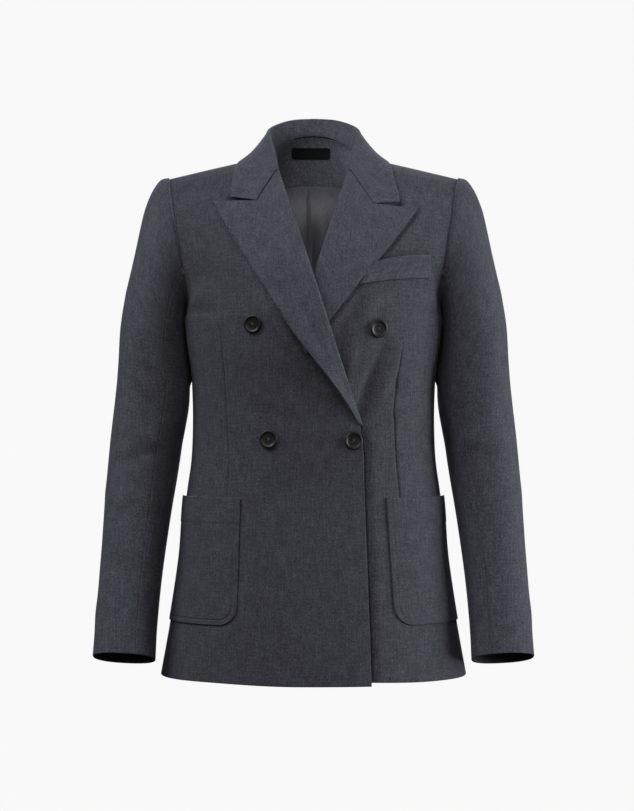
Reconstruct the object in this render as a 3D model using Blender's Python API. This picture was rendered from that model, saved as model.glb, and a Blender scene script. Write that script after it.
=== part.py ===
"""A women's double-breasted blazer, filled out as if worn, with nobody in it.

The cloth is modelled as the maker's own pieces: each is a thin wall laid on one
body form, and the form comes from two short tables of sections, one for the
front half and one for the back half. Sizes are in millimetres and are scaled to
metres once, when a mesh is made. +X is the wearer's left, -Y is the front, and
the origin lies between the shoulders at the height of the neck, where the
wearer holds the garment up.
"""

import math

import bmesh
import bpy
from mathutils import Vector
from mathutils.bvhtree import BVHTree

MM = 0.001
CLOTH = 1.5            # thickness of the suiting with its interlining
LINING = 1.2           # thickness of the satin lining
SEAM = 0.3             # gap between neighbouring pieces
RIGHT, LEFT = -1, 1    # the wearer's sides, as signs of X

# Body sections, from the hem to the shoulder seam.
# mid: height at the middle; drop: how much lower the row's end lies; half: X of
# its end; depth: Y at the middle; side: Y of its end; turn: degrees that the
# section has turned by its end (90 is a side seam, less is an armhole edge).
COLUMNS = ("mid", "drop", "half", "depth", "side", "turn")
FRONT = (
    (-673, 0, 200.5, -138, 4, 90),
    (-600, 0, 187.5, -131, 4, 90),
    (-520, 0, 175.5, -122, 4, 90),
    (-440, 0, 167.0, -113, 4, 90),
    (-392, 0, 160.5, -109, 4, 90),
    (-344, 0, 158.5, -109, 4, 90),
    (-296, 0, 159.5, -114, 5, 90),
    (-250, 0, 163.0, -121, 6, 90),
    (-205, 0, 168.0, -124, 8, 90),
    (-172, 2, 166.5, -121, -30, 62),
    (-135, 5, 169.5, -114, -47, 52),
    (-95, 9, 175.0, -101, -50, 46),
    (-55, 16, 181.0, -83, -43, 42),
    (-10, 26, 186.0, -50, -27, 39),
    (7, 34, 188.5, -31, -16, 36),
    (17, 40, 189.6, -13, -7, 30),
    (20, 43, 190.0, 0, 0, 28),
)
BACK = (
    (-673, 0, 200.5, 122, 4, 90),
    (-600, 0, 187.5, 119, 4, 90),
    (-520, 0, 175.5, 110, 4, 90),
    (-440, 0, 167.0, 94, 4, 90),
    (-392, 0, 160.5, 85, 4, 90),
    (-344, 0, 158.5, 82, 4, 90),
    (-296, 0, 159.5, 87, 5, 90),
    (-250, 0, 163.0, 95, 6, 90),
    (-205, 0, 168.0, 103, 8, 90),
    (-172, 2, 169.0, 107, 46, 62),
    (-130, 5, 174.0, 110, 60, 52),
    (-88, 9, 180.0, 109, 62, 46),
    (-50, 16, 185.0, 104, 55, 42),
)
# Places of the panels' lines of points, in rows of the tables.
FRONT_LINES = (0, 0.5, 1, 1.5, 2, 2.5, 3, 3.5, 4, 4.5, 5, 5.5, 6, 6.5, 7, 7.5, 8,
               9, 10, 11, 12, 12.5, 13, 14, 15, 16)
BACK_LINES = (0, 1, 2, 3, 4, 5, 6, 7, 8, 9, 10, 11, 12, 12.33, 12.6, 12.85, 13)
BREAK_LINE, GORGE_LINE = 5, 13     # lines where the lapel starts and ends
SQUARE = 2.25          # 2 is an ellipse, more is squarer
SLOPE_POWER = 1.1      # how straight the rows fall towards the shoulder
UNDERARM_ROW = 8       # the row at the bottom of the armhole
NECK_HALF = 57.0       # X of the neck point, where the shoulder seam starts
NECK_BACK = (66.0, 42.0)    # Y and height of the middle of the back neck
NECK_SHARE = 1 / 3     # share of the back's top edge that is neckline

# Front edge, in the X and height of the wearer's own side (negative X is past the
# middle). The right front laps over the left one.
BREAK = (-61.0, -344.0)     # where the lapel starts to turn
EDGE_HEM = -73.0            # X of the front edge at the hem
ROLL_NECK = (50.5, 4.0)     # the roll line beside the neck
GORGE = (44.5, -15.0)       # where the gorge seam meets the roll line
NECK_CUT = 7.0              # how far the front's neck edge lies under the collar
V_BOTTOM = -150.0           # height where the two roll lines cross
LAY = CLOTH + SEAM + 0.7    # from the middle of one wall to that of the next on it
TURN = 2.4                  # radius of a folded edge, at the middle of the wall
BREAK_EASE = 45.0           # height over which the front's edge draws into the fold
NECK_EASE = 8.0             # height over which it draws in under the collar
CROSS_EASE = 90.0           # height over which the overlap's lift fades at the top
LAPEL_EASE = 100.0          # height over which the room for the other lapel opens
OVERLAP_FADE = (80.0, 140.0)    # X where the overlap's lift fades out
UNDER_FADE = (30.0, 100.0)      # X where the room for the other lapel fades out
UNDER_ROOM = 2 * LAY + 0.8      # room for the other lapel and its fold
HEM_STEP = {RIGHT: -3.0, LEFT: 3.0}    # the hem's height beside the front edge
HEM_EASE = (90.0, 20.0, 150.0)  # height it fades over, then the X range

# Lapel outlines, X and height on the own side: outer edge from below, then the
# corners at the top. The notch is its inner end, tip is the collar's corner.
LAPEL_EDGE = {
    RIGHT: ((-51, -344), (-19.5, -285), (24.5, -225), (60.5, -168), (100, -108)),
    LEFT: ((-51, -344), (-27, -285), (10, -225), (54, -168), (99, -113)),
}
LAPEL_CORNERS = {
    RIGHT: {"notch": (72, -58), "peak": (128.5, -57), "tip": (107, -51)},
    LEFT: {"notch": (76, -62), "peak": (133, -67), "tip": (110, -58)},
}
LAPEL_LEG = 9.0        # width of the part that lies inside the front
CORNER_SHARE = 0.4     # share of a lapel's top edge that is gorge seam
LAPEL_BULGE = 1.6      # how far the middle of a lapel stands off the front

# Collar, one half from the gorge to the middle of the back: the neck seam, the
# roll line and the outer edge, each as X, Y, height.
COLLAR_COLUMNS = ("neck", "roll", "edge")
COLLAR = (
    ((47, -44, -14), (46.0, -52, -9), (107, -64, -51)),
    ((50, -20, -4), (49.5, -32, 11), (102, -38, -27)),
    ((53, -4, 12), (56.0, -8, 32), (95, 0, 1)),
    ((54, 16, 19), (57.5, 18, 46), (85, 48, 4)),
    ((42, 43, 31), (46.0, 49, 57), (62, 82, 8)),
    ((22, 60, 41), (26.0, 65, 64), (33, 93, 11)),
    ((0, 65, 44), (0.0, 70, 66), (0, 97, 12)),
)
COLLAR_START = 0.35    # share of a half collar that eases out of the gorge seam
COLLAR_FOLD = (1.3, 2.3)    # radius of its fold at the gorge and at the back

# Sleeve rings, from the upper arm to the cuff, on the own side.
SLEEVE_COLUMNS = ("height", "x", "y", "side", "depth")
SLEEVE = (
    (-236, 212.0, 8, 42.5, 66),
    (-306, 212.5, 9, 48.0, 61),
    (-370, 221.5, 5, 46.0, 57),
    (-433, 228.7, -3, 44.0, 52),
    (-528, 238.0, -22, 40.4, 46),
    (-600, 243.5, -39, 39.4, 42),
    (-648, 246.0, -52, 40.0, 39),
)
PITCH_LINE = 10        # line of the armhole where the sleeve seams start
ARMHOLE_SLACK = 0.05   # what the sleeve's flat cells need on top of a seam's gap
CAP_SHARE = 0.26       # share of the sleeve's length above the first ring
CAP_RISE = 0.16        # upward lean of the sleeve head as it leaves the armhole
CAP_SPREAD = -0.25     # its lean to the front and the back there
CAP_PUSH = (12.0, 0.42)     # how hard it leaves: a length, and a share of the reach
CAP_BEND = (0.7, 0.3)       # how straight it runs into the sleeve, underarm and over

# Points well inside the hollow, which tell out from in.
BODY_INSIDE = Vector((0, 10, -250))
NECK_INSIDE = Vector((0, 10, -120))

# Patch pockets, welt pocket, buttons and label.
POCKET_TOP, POCKET_BOTTOM = -439.0, -601.0
POCKET_INNER = (92.0, 97.5)     # X of the inner edge at the top and the bottom
POCKET_OUTER = 0.975            # across value of the outer edge
POCKET_CORNER = 24.0            # radius of the lower inner corner
POCKET_HEIGHTS = (0, 0.015, 0.05, 0.1, 0.16, 0.36, 0.58, 0.8, 1)    # lines, as shares
POCKET_GAPE = 3.5               # how far the mouth stands off at the side
WELT = (("x", "bottom", "top"),
        (65, -164, -136), (90, -160, -132), (119, -156.5, -128), (149, -154, -126))
WELT_SLANT, WELT_END = 19.5, 1.5    # how its inner end leans and clears the lapel
BUTTON_RADIUS, BUTTON_THICK, BUTTON_DISH = 11.2, 3.6, 1.1
HOLE_RADIUS, HOLE_REACH, HOLE_TURN = 1.1, 2.6, 0.9
BUTTONS = {"button_upper_right": (-77.5, -216), "button_upper_left": (82.5, -222),
           "button_lower_right": (-55.5, -363), "button_lower_left": (49.5, -365)}
FACING_LINES = 3                # lines of the back that its neck facing covers
LINING_HEM = 22.0               # how far the lining stops above the hem
PLEAT = 5.0                     # how far the lining's middle pleat stands off
LABEL = {"width": 54.0, "low": 0.2, "high": 0.82, "thick": 0.6}   # in its cell

# Cells across or along each piece.
FRONT_COLUMNS, BACK_COLUMNS, LAPEL_COLUMNS, WELT_COLUMNS = 11, 9, 5, 8
POCKET_COLUMNS, SLEEVE_ROWS, COLLAR_ROWS = 8, 14, 10
FACING_COLUMNS, LINING_COLUMNS = 3, 8


def hermite(a, b, slope_a, slope_b, t):
    """A cubic from a to b with the given end slopes."""
    t2 = t * t
    t3 = t2 * t
    return (a * (2 * t3 - 3 * t2 + 1) + slope_a * (t3 - 2 * t2 + t)
            + b * (3 * t2 - 2 * t3) + slope_b * (t3 - t2))


def spline(rows, column, place):
    """Read one column of a table at a fractional row, as a smooth curve."""
    last = len(rows) - 1
    low = min(max(int(place), 0), last - 1)
    before = rows[max(low - 1, 0)]
    after = rows[min(low + 2, last)]
    a, b = rows[low][column], rows[low + 1][column]
    slope_a = (b - before[column]) / (2 if low > 0 else 1)
    slope_b = (after[column] - a) / (2 if low < last - 1 else 1)
    return hermite(a, b, slope_a, slope_b, place - low)


def smooth(low, high, value):
    """0 below low, 1 above high, and a soft step between."""
    t = min(max((value - low) / (high - low), 0.0), 1.0)
    return t * t * (3 - 2 * t)


def section_sizes(rows, place):
    """A section's sizes. The row's end changes direction at the underarm."""
    body, armhole = rows[:UNDERARM_ROW + 1], rows[UNDERARM_ROW:]
    if place <= UNDERARM_ROW:
        part, local = body, place
    else:
        part, local = armhole, place - UNDERARM_ROW
    return [spline(part, k, local) if name in ("half", "side", "turn")
            else spline(rows, k, place) for k, name in enumerate(COLUMNS)]


def section(rows, across, place):
    """A point of the body form: across runs 0..1 from the middle to the row's end."""
    mid, drop, half, depth, side, turn = section_sizes(rows, place)
    full = math.radians(min(turn, 90.0))
    angle = full * abs(across)
    reach = (math.sin(angle) / math.sin(full)) ** (2 / SQUARE)
    bulge = 1 - max(math.cos(angle), 0.0) ** (2 / SQUARE)
    bulge /= 1 - max(math.cos(full), 0.0) ** (2 / SQUARE)
    x = math.copysign(half * reach, across)
    return Vector((x, depth + (side - depth) * bulge, mid - drop * reach ** SLOPE_POWER))


def across_at(rows, place, x):
    """The across value whose point has this X on a row."""
    sizes = section_sizes(rows, place)
    half = sizes[COLUMNS.index("half")]
    full = math.radians(min(sizes[COLUMNS.index("turn")], 90.0))
    reach = min(abs(x) / half, 1.0)
    return math.copysign(math.asin(reach ** (SQUARE / 2) * math.sin(full)) / full, x)


def shoulder(x):
    """Height of the shoulder seam at an X."""
    mid, drop, half = FRONT[-1][:3]
    return mid - drop * (abs(x) / half) ** SLOPE_POWER


def edge_x(height):
    """X of the outline of a front's inner edge: front edge, then roll line."""
    if height < BREAK[1]:
        t = (BREAK[1] - height) / (BREAK[1] - FRONT[0][0])
        return BREAK[0] + (EDGE_HEM - BREAK[0]) * t
    t = (height - BREAK[1]) / (ROLL_NECK[1] - BREAK[1])
    return BREAK[0] + (ROLL_NECK[0] - BREAK[0]) * t


def panel_edge_x(height):
    """The panel's own edge: it stops inside the lapel's fold, and under the collar."""
    fold = smooth(BREAK[1] - BREAK_EASE, BREAK[1], height)
    neck = smooth(GORGE[1], GORGE[1] + NECK_EASE, height)
    return edge_x(height) + (TURN + CLOTH / 2) * fold + NECK_CUT * neck


def edge_across(place):
    """Across value of a front's own edge on a line."""
    across = 0.0
    for _ in range(6):
        across = across_at(FRONT, place, panel_edge_x(front_form(across, place).z))
    return across


def front_form(across, place):
    return section(FRONT, across, place)


def back_form(across, place):
    """The back half. Above the shoulder blades it bends over to the top edge."""
    last = len(BACK) - 1
    if place <= last:
        return section(BACK, across, place)
    low = section(BACK, across, last)
    rise = (low - section(BACK, across, last - 0.2)) * 5
    if abs(across) < NECK_SHARE:
        turn = math.radians(90) * across / NECK_SHARE
        side_height = shoulder(NECK_HALF)
        top = Vector((NECK_HALF * math.sin(turn), NECK_BACK[0] * math.cos(turn) ** 0.9,
                      side_height + (NECK_BACK[1] - side_height) * math.cos(turn)))
        lean = abs(math.sin(turn))
    else:
        share = (abs(across) - NECK_SHARE) / (1 - NECK_SHARE)
        x = NECK_HALF + (FRONT[-1][2] - NECK_HALF) * share
        top = Vector((math.copysign(x, across), 0.0, shoulder(x)))
        lean = 1.0
    end = Vector((0, -45 - 40 * lean, 55 - 30 * lean))
    return hermite(low, top, rise * 1.6, end, place - last)


def normal_at(surface, across, place):
    """Outward normal of a form at a point of its grid."""
    step = 0.01
    along = surface(across + step, place) - surface(across - step, place)
    up = surface(across, place + step) - surface(across, place - step)
    normal = along.cross(up).normalized()
    return normal if surface is front_form else -normal


def front_place(x, height):
    """Across and place of the point of the front form with this X and height."""
    low, high = 0.0, float(len(FRONT) - 1)
    for _ in range(30):
        place = (low + high) / 2
        if section(FRONT, across_at(FRONT, place, x), place).z < height:
            low = place
        else:
            high = place
    return across_at(FRONT, low, x), low


def front_lift(side, x, height):
    """How far a front's middle is moved out to clear what lies under it."""
    if side == LEFT:
        return 0.0
    crossed = 1 - smooth(V_BOTTOM, V_BOTTOM + CROSS_EASE, height)
    under = smooth(BREAK[1] - LAPEL_EASE, BREAK[1], height) * (1 - smooth(*UNDER_FADE, x))
    return crossed * (LAY * (1 - smooth(*OVERLAP_FADE, x)) + UNDER_ROOM * under)


def hem_step(side, x, height):
    """How much a front's hem hangs lower or higher beside the front edge."""
    tall, near, far = HEM_EASE
    low = 1 - smooth(FRONT[0][0], FRONT[0][0] + tall, height)
    return HEM_STEP[side] * low * (1 - smooth(near, far, x))


def on_front(side, x, height, lift=0.0):
    """A point that lies over a front: X and height on its own side, and how far out."""
    across, place = front_place(x, height)
    normal = normal_at(front_form, across, place)
    return front_form(across, place) + normal * (front_lift(side, x, height) + lift)


def grid_normals(grid):
    """Unit normals of a grid of points, from each point's neighbours."""
    rows, columns = len(grid), len(grid[0])
    normals = []
    for i in range(rows):
        line = []
        for j in range(columns):
            along = grid[i][min(j + 1, columns - 1)] - grid[i][max(j - 1, 0)]
            up = grid[min(i + 1, rows - 1)][j] - grid[max(i - 1, 0)][j]
            line.append(along.cross(up).normalized())
        normals.append(line)
    return normals


def offset(grid, normals, distance):
    """The grid moved along its normals."""
    return [[p + n * distance for p, n in zip(line, directions)]
            for line, directions in zip(grid, normals)]


def without(vector, axis):
    """The unit vector with one axis taken out, so that a seam's faces meet squarely."""
    flat = Vector(vector)
    flat[axis] = 0.0
    return flat.normalized()


def shares(count):
    return [k / count for k in range(count + 1)]


def polyline(points, t):
    """A point at share t of the length of a line through points."""
    lengths = [(b - a).length for a, b in zip(points, points[1:])]
    left = t * sum(lengths)
    for a, b, length in zip(points, points[1:], lengths):
        if left <= length or b is points[-1]:
            return a.lerp(b, min(left / length, 1.0))
        left -= length
    return points[-1]


def corner_line(points, t):
    """A line through three points whose corner lies at a share of CORNER_SHARE."""
    a, b, c = points
    if t <= CORNER_SHARE:
        return a.lerp(b, t / CORNER_SHARE)
    return b.lerp(c, (t - CORNER_SHARE) / (1 - CORNER_SHARE))


def curve(points, t):
    """A smooth curve through points, at share t of their number."""
    place = t * (len(points) - 1)
    return Vector([spline(points, axis, place) for axis in range(len(points[0]))])


def coons(bottom, top, start, end, u, v):
    """A point of the patch between four edges: bottom and top run along u."""
    ruled_v = bottom(u).lerp(top(u), v)
    ruled_u = start(v).lerp(end(v), u)
    low = bottom(0).lerp(bottom(1), u)
    high = top(0).lerp(top(1), u)
    return ruled_v + ruled_u - low.lerp(high, v)


def mirrored(grid, side):
    """A grid made on the wearer's left, put on the given side."""
    return [[Vector((p.x * side, p.y, p.z)) for p in line] for line in grid]


# ---- finishes and meshes ----

SUITING = ((0.072, 0.074, 0.092), 0.85)
SATIN = ((0.13, 0.13, 0.15), 0.4)
HORN = ((0.012, 0.012, 0.013), 0.3)
BLACK = ((0.01, 0.011, 0.014), 0.6)


def material(name, colour, roughness):
    made = bpy.data.materials.new(name)
    made.use_nodes = True
    shader = made.node_tree.nodes["Principled BSDF"]
    shader.inputs["Base Color"].default_value = (*colour, 1.0)
    shader.inputs["Roughness"].default_value = roughness
    shader.inputs["Metallic"].default_value = 0.0
    return made


def add_object(name, bm, finish):
    """Close up a bmesh as a named object, its faces outward."""
    bmesh.ops.recalc_face_normals(bm, faces=bm.faces)
    if bm.calc_volume(signed=True) < 0:
        bmesh.ops.reverse_faces(bm, faces=bm.faces)
    mesh = bpy.data.meshes.new(name)
    bm.to_mesh(mesh)
    bm.free()
    mesh.materials.append(material(name + "_finish", *finish))
    made = bpy.data.objects.new(name, mesh)
    bpy.context.collection.objects.link(made)
    return made


def wall(name, grid, normals=None, thickness=CLOTH, finish=SUITING, turned=(0, 0)):
    """A closed wall of cloth in metres: the grid is its middle, half each way.

    Cells in the first turned rows and columns are cut along their other diagonal."""
    bm = bmesh.new()
    normals = normals or grid_normals(grid)
    skins = [[[bm.verts.new(p * MM) for p in line]
              for line in offset(grid, normals, distance)]
             for distance in (thickness / 2, -thickness / 2)]
    rows, columns = len(grid), len(grid[0])
    for skin in skins:
        for i in range(rows - 1):
            for j in range(columns - 1):
                a, b = skin[i][j], skin[i][j + 1]
                c, d = skin[i + 1][j + 1], skin[i + 1][j]
                if i < turned[0] or j < turned[1]:
                    a, b, c, d = b, a, d, c
                bm.faces.new((a, b, c))
                bm.faces.new((a, c, d))
    rim = ([(0, j) for j in range(columns)] + [(i, columns - 1) for i in range(1, rows)]
           + [(rows - 1, j) for j in range(columns - 2, -1, -1)]
           + [(i, 0) for i in range(rows - 2, 0, -1)])
    for (i, j), (k, m) in zip(rim, rim[1:] + rim[:1]):
        a, b, c, d = skins[0][i][j], skins[1][i][j], skins[1][k][m], skins[0][k][m]
        bm.faces.new((a, b, c))
        bm.faces.new((a, c, d))
    return add_object(name, bm, finish)


def put_wall(name, side, grid, normals=None):
    """A wall of suiting made on the wearer's left, put on the given side."""
    return wall(name, mirrored(grid, side), normals and mirrored(normals, side))


def skin_tree(grids):
    """A search tree over grids of points, for keeping other pieces clear of them."""
    corners, faces = [], []
    for grid in grids:
        columns, first = len(grid[0]), len(corners)
        corners += [p for line in grid for p in line]
        for i in range(len(grid) - 1):
            for j in range(columns - 1):
                a = first + i * columns + j
                faces.append((a, a + 1, a + 1 + columns, a + columns))
    return BVHTree.FromPolygons(corners, faces)


def shortfall(tree, point, gap, inside):
    """How far, and which way, a point must move to lie gap outside the skin.

    inside is a point well within the hollow, which tells out from in."""
    spot, normal, _, _ = tree.find_nearest(point)
    if normal.dot(spot - inside) < 0:
        normal = -normal
    out = (point - spot).dot(normal)
    if (point - spot).length > abs(out) + 3.0:
        return normal * 0.0
    return normal * max(gap - out, 0.0)


def settle(grid, tree, gap, inside, first_row=0, last_row=None, first_column=0):
    """Move a grid's points out until its cells, too, lie clear of the skin."""
    last_row = len(grid) - 1 if last_row is None else last_row
    for _ in range(4):
        for i in range(first_row, last_row):
            for j in range(first_column, len(grid[0]) - 1):
                cell = [grid[i][j], grid[i][j + 1], grid[i + 1][j + 1], grid[i + 1][j]]
                for pick in ((0,), (1,), (2,), (3,), (0, 1), (1, 2), (2, 3), (3, 0),
                             (0, 2), (0, 1, 2), (0, 2, 3)):
                    corners = [cell[k] for k in pick]
                    middle = sum(corners, Vector()) / len(corners)
                    move = shortfall(tree, middle, gap, inside)
                    for corner in corners:
                        corner += move
    return grid


# ---- the garment's pieces ----

def front_grid(side, columns):
    """A front and its normals, from its inner edge to side seam and armhole."""
    grid, normals = [], []
    for place in FRONT_LINES:
        first = edge_across(place)
        line, directions = [], []
        for u in shares(columns):
            across = first + (1 - first) * u
            point = front_form(across, place)
            normal = normal_at(front_form, across, place)
            lifted = point + normal * front_lift(side, point.x, point.z)
            lifted.z += hem_step(side, point.x, point.z)
            line.append(lifted)
            directions.append(normal)
        if place <= UNDERARM_ROW:
            line[-1].y -= SEAM / 2
            directions[-1] = without(directions[-1], 1)
        grid.append(line)
        normals.append(directions)
    for point in grid[-1]:
        point.y -= SEAM / 2
    normals[-1] = [without(n, 1) for n in normals[-1]]
    return grid, normals


def back_grid(columns):
    """A half back and its normals, from the middle seam to side seam and armhole."""
    grid, normals = [], []
    for place in BACK_LINES:
        line = [back_form(u, place) for u in shares(columns)]
        directions = [normal_at(back_form, u, place) for u in shares(columns)]
        line[0].x += SEAM / 2
        directions[0] = without(normal_at(back_form, 0.01, place), 0)
        if place <= UNDERARM_ROW:
            line[-1].y += SEAM / 2
            directions[-1] = without(directions[-1], 1)
        grid.append(line)
        normals.append(directions)
    neck = int(NECK_SHARE * columns) + 1
    for point in grid[-1][neck:]:
        point.y += SEAM / 2
    normals[-1][neck:] = [without(n, 1) for n in normals[-1][neck:]]
    return grid, normals


def lapel_grid(side, outer):
    """A lapel: inside leg, fold round the front's edge, then out to its own edge."""
    corners = LAPEL_CORNERS[side]
    notch, peak = Vector(corners["notch"]), Vector(corners["peak"])
    outline = [Vector(p) for p in LAPEL_EDGE[side]] + [peak]
    lines = [place for place in FRONT_LINES if BREAK_LINE <= place <= GORGE_LINE]
    rolls = []
    for place in lines:
        across = edge_across(place)
        point = front_form(across, place)
        rolls.append(Vector((point.x, point.z)))
    top_line = [rolls[-1], notch, peak]

    def flat(u, v):
        return coons(lambda t: rolls[0].lerp(outline[0], t),
                     lambda t: corner_line(top_line, t),
                     lambda t: polyline(rolls, t),
                     lambda t: curve(outline, t), u, v)

    grid = []
    for index, (place, edge) in enumerate(zip(lines, rolls)):
        v = (edge.y - rolls[0].y) / (rolls[-1].y - rolls[0].y)
        across = edge_across(place)
        normal = normal_at(front_form, across, place)
        base = on_front(side, edge.x, edge.y)
        ahead = (on_front(side, edge.x - 2, edge.y) - base)
        ahead = (ahead - normal * ahead.dot(normal)).normalized()
        line = [on_front(side, edge.x + LAPEL_LEG, edge.y, -TURN - 0.5)]
        for angle in (-90, -45, 0, 45, 90):
            turn = math.radians(angle)
            line.append(base + ahead * TURN * math.cos(turn) + normal * TURN * math.sin(turn))
        for u in shares(outer)[1:]:
            spot = flat(u, v)
            bulge = LAPEL_BULGE * math.sin(math.pi * min(u * 1.1, 1)) * v
            line.append(on_front(side, spot.x, spot.y, LAY + bulge))
        grid.append(line)
    return grid


def collar_rows(side):
    """The collar's guide rows on one side, with this side's corner of the collar."""
    tip = LAPEL_CORNERS[side]["tip"]
    rows = [list(row) for row in COLLAR]
    drop = tip[1] - LAPEL_CORNERS[RIGHT]["tip"][1]
    rows[0][2] = (tip[0], rows[0][2][1], tip[1])
    rows[1][2] = (rows[1][2][0], rows[1][2][1], rows[1][2][2] + 0.7 * drop)
    return [[Vector(p) for p in row] for row in rows]


def gorge_row(side, fall):
    """The collar's first line: the lapel's last line, a seam's gap higher."""
    corners = LAPEL_CORNERS[side]
    notch, tip = Vector(corners["notch"]), Vector(corners["tip"])
    below, last = lapel_grid(side, fall)[-2:]
    line = [p + (p - q).normalized() * (SEAM + CLOTH / 2) for p, q in zip(last, below)]
    start = front_form(edge_across(GORGE_LINE), GORGE_LINE)
    roll = Vector((start.x, start.z))
    away = Vector((0.6, 1.0)) * (SEAM + CLOTH / 2)
    for k in range(1, fall + 1):
        spot = corner_line([roll + away, notch + away, tip], k / fall)
        line[-fall - 1 + k] = on_front(side, spot.x, spot.y, LAY)
    return line


def collar_grid(side, along, fall, body):
    """Half a collar on the wearer's left: lines of stand, fold and fall."""
    rows = collar_rows(side)
    gorge = gorge_row(side, fall)
    grid = []
    for u in shares(along):
        neck, roll, edge = (curve([row[k] for row in rows], u) for k in range(3))
        edge += shortfall(body, edge, LAY, NECK_INSIDE)
        up = (roll - neck).normalized()
        out = edge - roll
        out = (out - up * out.dot(up)).normalized()
        size = COLLAR_FOLD[0] + (COLLAR_FOLD[1] - COLLAR_FOLD[0]) * smooth(0, 0.3, u)
        line = [neck]
        for angle in (180, 135, 90, 45, 0):
            turn = math.radians(angle)
            line.append(roll + out * size * (1 + math.cos(turn))
                        + up * size * (math.sin(turn) - 1))
        line += [line[-1].lerp(edge, w) for w in shares(fall)[1:]]
        grid.append(line)
    moved = [a - b for a, b in zip(gorge, grid[0])]
    for u, line in zip(shares(along), grid):
        ease = max(1 - u / COLLAR_START, 0.0) ** 2
        for point, move in zip(line, moved):
            point += move * ease
    return settle(grid, body, LAY, NECK_INSIDE, 1, along, 5)


def armhole_loop():
    """The armhole's edge on the left: shoulder to underarm at the front, then the back's."""
    front = [front_form(1, place) for place in reversed(FRONT_LINES) if place >= UNDERARM_ROW]
    back = [back_form(1, place) for place in reversed(BACK_LINES) if place >= UNDERARM_ROW]
    return front, back


def armhole_turns():
    """Turn of each point of the loop, from the back's pitch over the top and under."""
    turns = []
    for points, sign in zip(armhole_loop(), (1, -1)):
        lengths = [0.0]
        for a, b in zip(points, points[1:]):
            lengths.append(lengths[-1] + (b - a).length)
        turns.append([sign * 0.5 * length / lengths[-1] for length in lengths])
    front, back = turns
    return list(reversed(back))[:-1] + front, len(back) - 1


def sleeve_ring(place, turn):
    """A point of the sleeve below the cap: turn 0 is its outer side, 0.25 its front."""
    height, x, y, side, depth = (spline(SLEEVE, k, place) for k in range(5))
    low, high = max(place - 0.05, 0), min(place + 0.05, len(SLEEVE) - 1)
    a = Vector([spline(SLEEVE, k, low) for k in (1, 2, 0)])
    b = Vector([spline(SLEEVE, k, high) for k in (1, 2, 0)])
    down = (b - a).normalized()
    outward = Vector((1, 0, 0)) - down * down.x
    outward.normalize()
    back = outward.cross(down)
    back = back if back.y > 0 else -back
    angle = 2 * math.pi * turn
    return (Vector((x, y, height)) + outward * side * math.cos(angle)
            - back * depth * math.sin(angle))


def sleeve_point(turn, share):
    """A point of the whole sleeve: share 0 is the armhole, 1 the cuff."""
    front, back = armhole_loop()
    turn = turn % 1.0
    if turn <= 0.5:
        spot = polyline(front, turn * 2)
    else:
        spot = polyline(back, (1.0 - turn) * 2)
    if share >= CAP_SHARE:
        return sleeve_ring((share - CAP_SHARE) / (1 - CAP_SHARE) * (len(SLEEVE) - 1), turn)
    t = share / CAP_SHARE
    end = sleeve_ring(0, turn)
    below = (sleeve_ring(0.2, turn) - end) * 5
    level = (1 + math.cos(2 * math.pi * turn)) / 2
    reach = (end - spot).length
    leave = Vector((1, CAP_SPREAD * math.sin(2 * math.pi * turn), CAP_RISE * level))
    start = spot + leave.normalized() * (SEAM + CLOTH / 2)
    bend = below.normalized() * reach
    push = CAP_PUSH[0] + CAP_PUSH[1] * reach * level
    return hermite(start, end, leave * push, bend * (CAP_BEND[0] + CAP_BEND[1] * level), t)


def sleeve_halves(rows, body):
    """The top and under sleeve as grids with normals, cuff to armhole.

    The lines start at the armhole's own points. The first column is the back seam."""
    turns, over = armhole_turns()
    count = len(turns) - 1
    grid = [[sleeve_point(turn, 1 - v) for turn in turns[:-1]] for v in shares(rows)]
    closed = [line + [line[0]] for line in grid]
    settle(closed, body, CLOTH + SEAM + ARMHOLE_SLACK, BODY_INSIDE, 0, rows)
    grid = [line[:-1] for line in closed]
    normals = []
    for i, line in enumerate(grid):
        below, above = grid[max(i - 1, 0)], grid[min(i + 1, rows)]
        normals.append([(line[(j + 1) % count] - line[j - 1]).cross(above[j] - below[j])
                        .normalized() for j in range(count)])
    back_seam = len([p for p in BACK_LINES if UNDERARM_ROW <= p < PITCH_LINE])
    front_seam = over + len([p for p in FRONT_LINES if p >= PITCH_LINE]) - 1
    halves = []
    for first, end in ((back_seam, front_seam), (front_seam, back_seam + count)):
        picks = [j % count for j in range(first, end + 1)]
        half = [[Vector(line[j]) for j in picks] for line in grid]
        for line in half:
            line[0] += (line[1] - line[0]).normalized() * SEAM / 2
            line[-1] += (line[-2] - line[-1]).normalized() * SEAM / 2
        halves.append((half, [[line[j] for j in picks] for line in normals]))
    return halves


def pocket_grid(side, columns):
    """A patch pocket, from its inner edge round to near the side seam."""
    grid = []
    for v in POCKET_HEIGHTS:
        height = POCKET_BOTTOM + (POCKET_TOP - POCKET_BOTTOM) * v
        inner = POCKET_INNER[1] + (POCKET_INNER[0] - POCKET_INNER[1]) * v
        rise = height - POCKET_BOTTOM
        if rise < POCKET_CORNER:
            inner += POCKET_CORNER - math.sqrt(POCKET_CORNER ** 2 - (POCKET_CORNER - rise) ** 2)
        first, place = front_place(inner, height)
        line = []
        for u in shares(columns):
            across = first + (POCKET_OUTER - first) * u
            point = front_form(across, place)
            lift = front_lift(side, point.x, point.z)
            lift += LAY + 0.3 + POCKET_GAPE * smooth(0.15, 0.9, u) * smooth(0.3, 1.0, v)
            line.append(point + normal_at(front_form, across, place) * lift)
        grid.append(line)
    return grid


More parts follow.
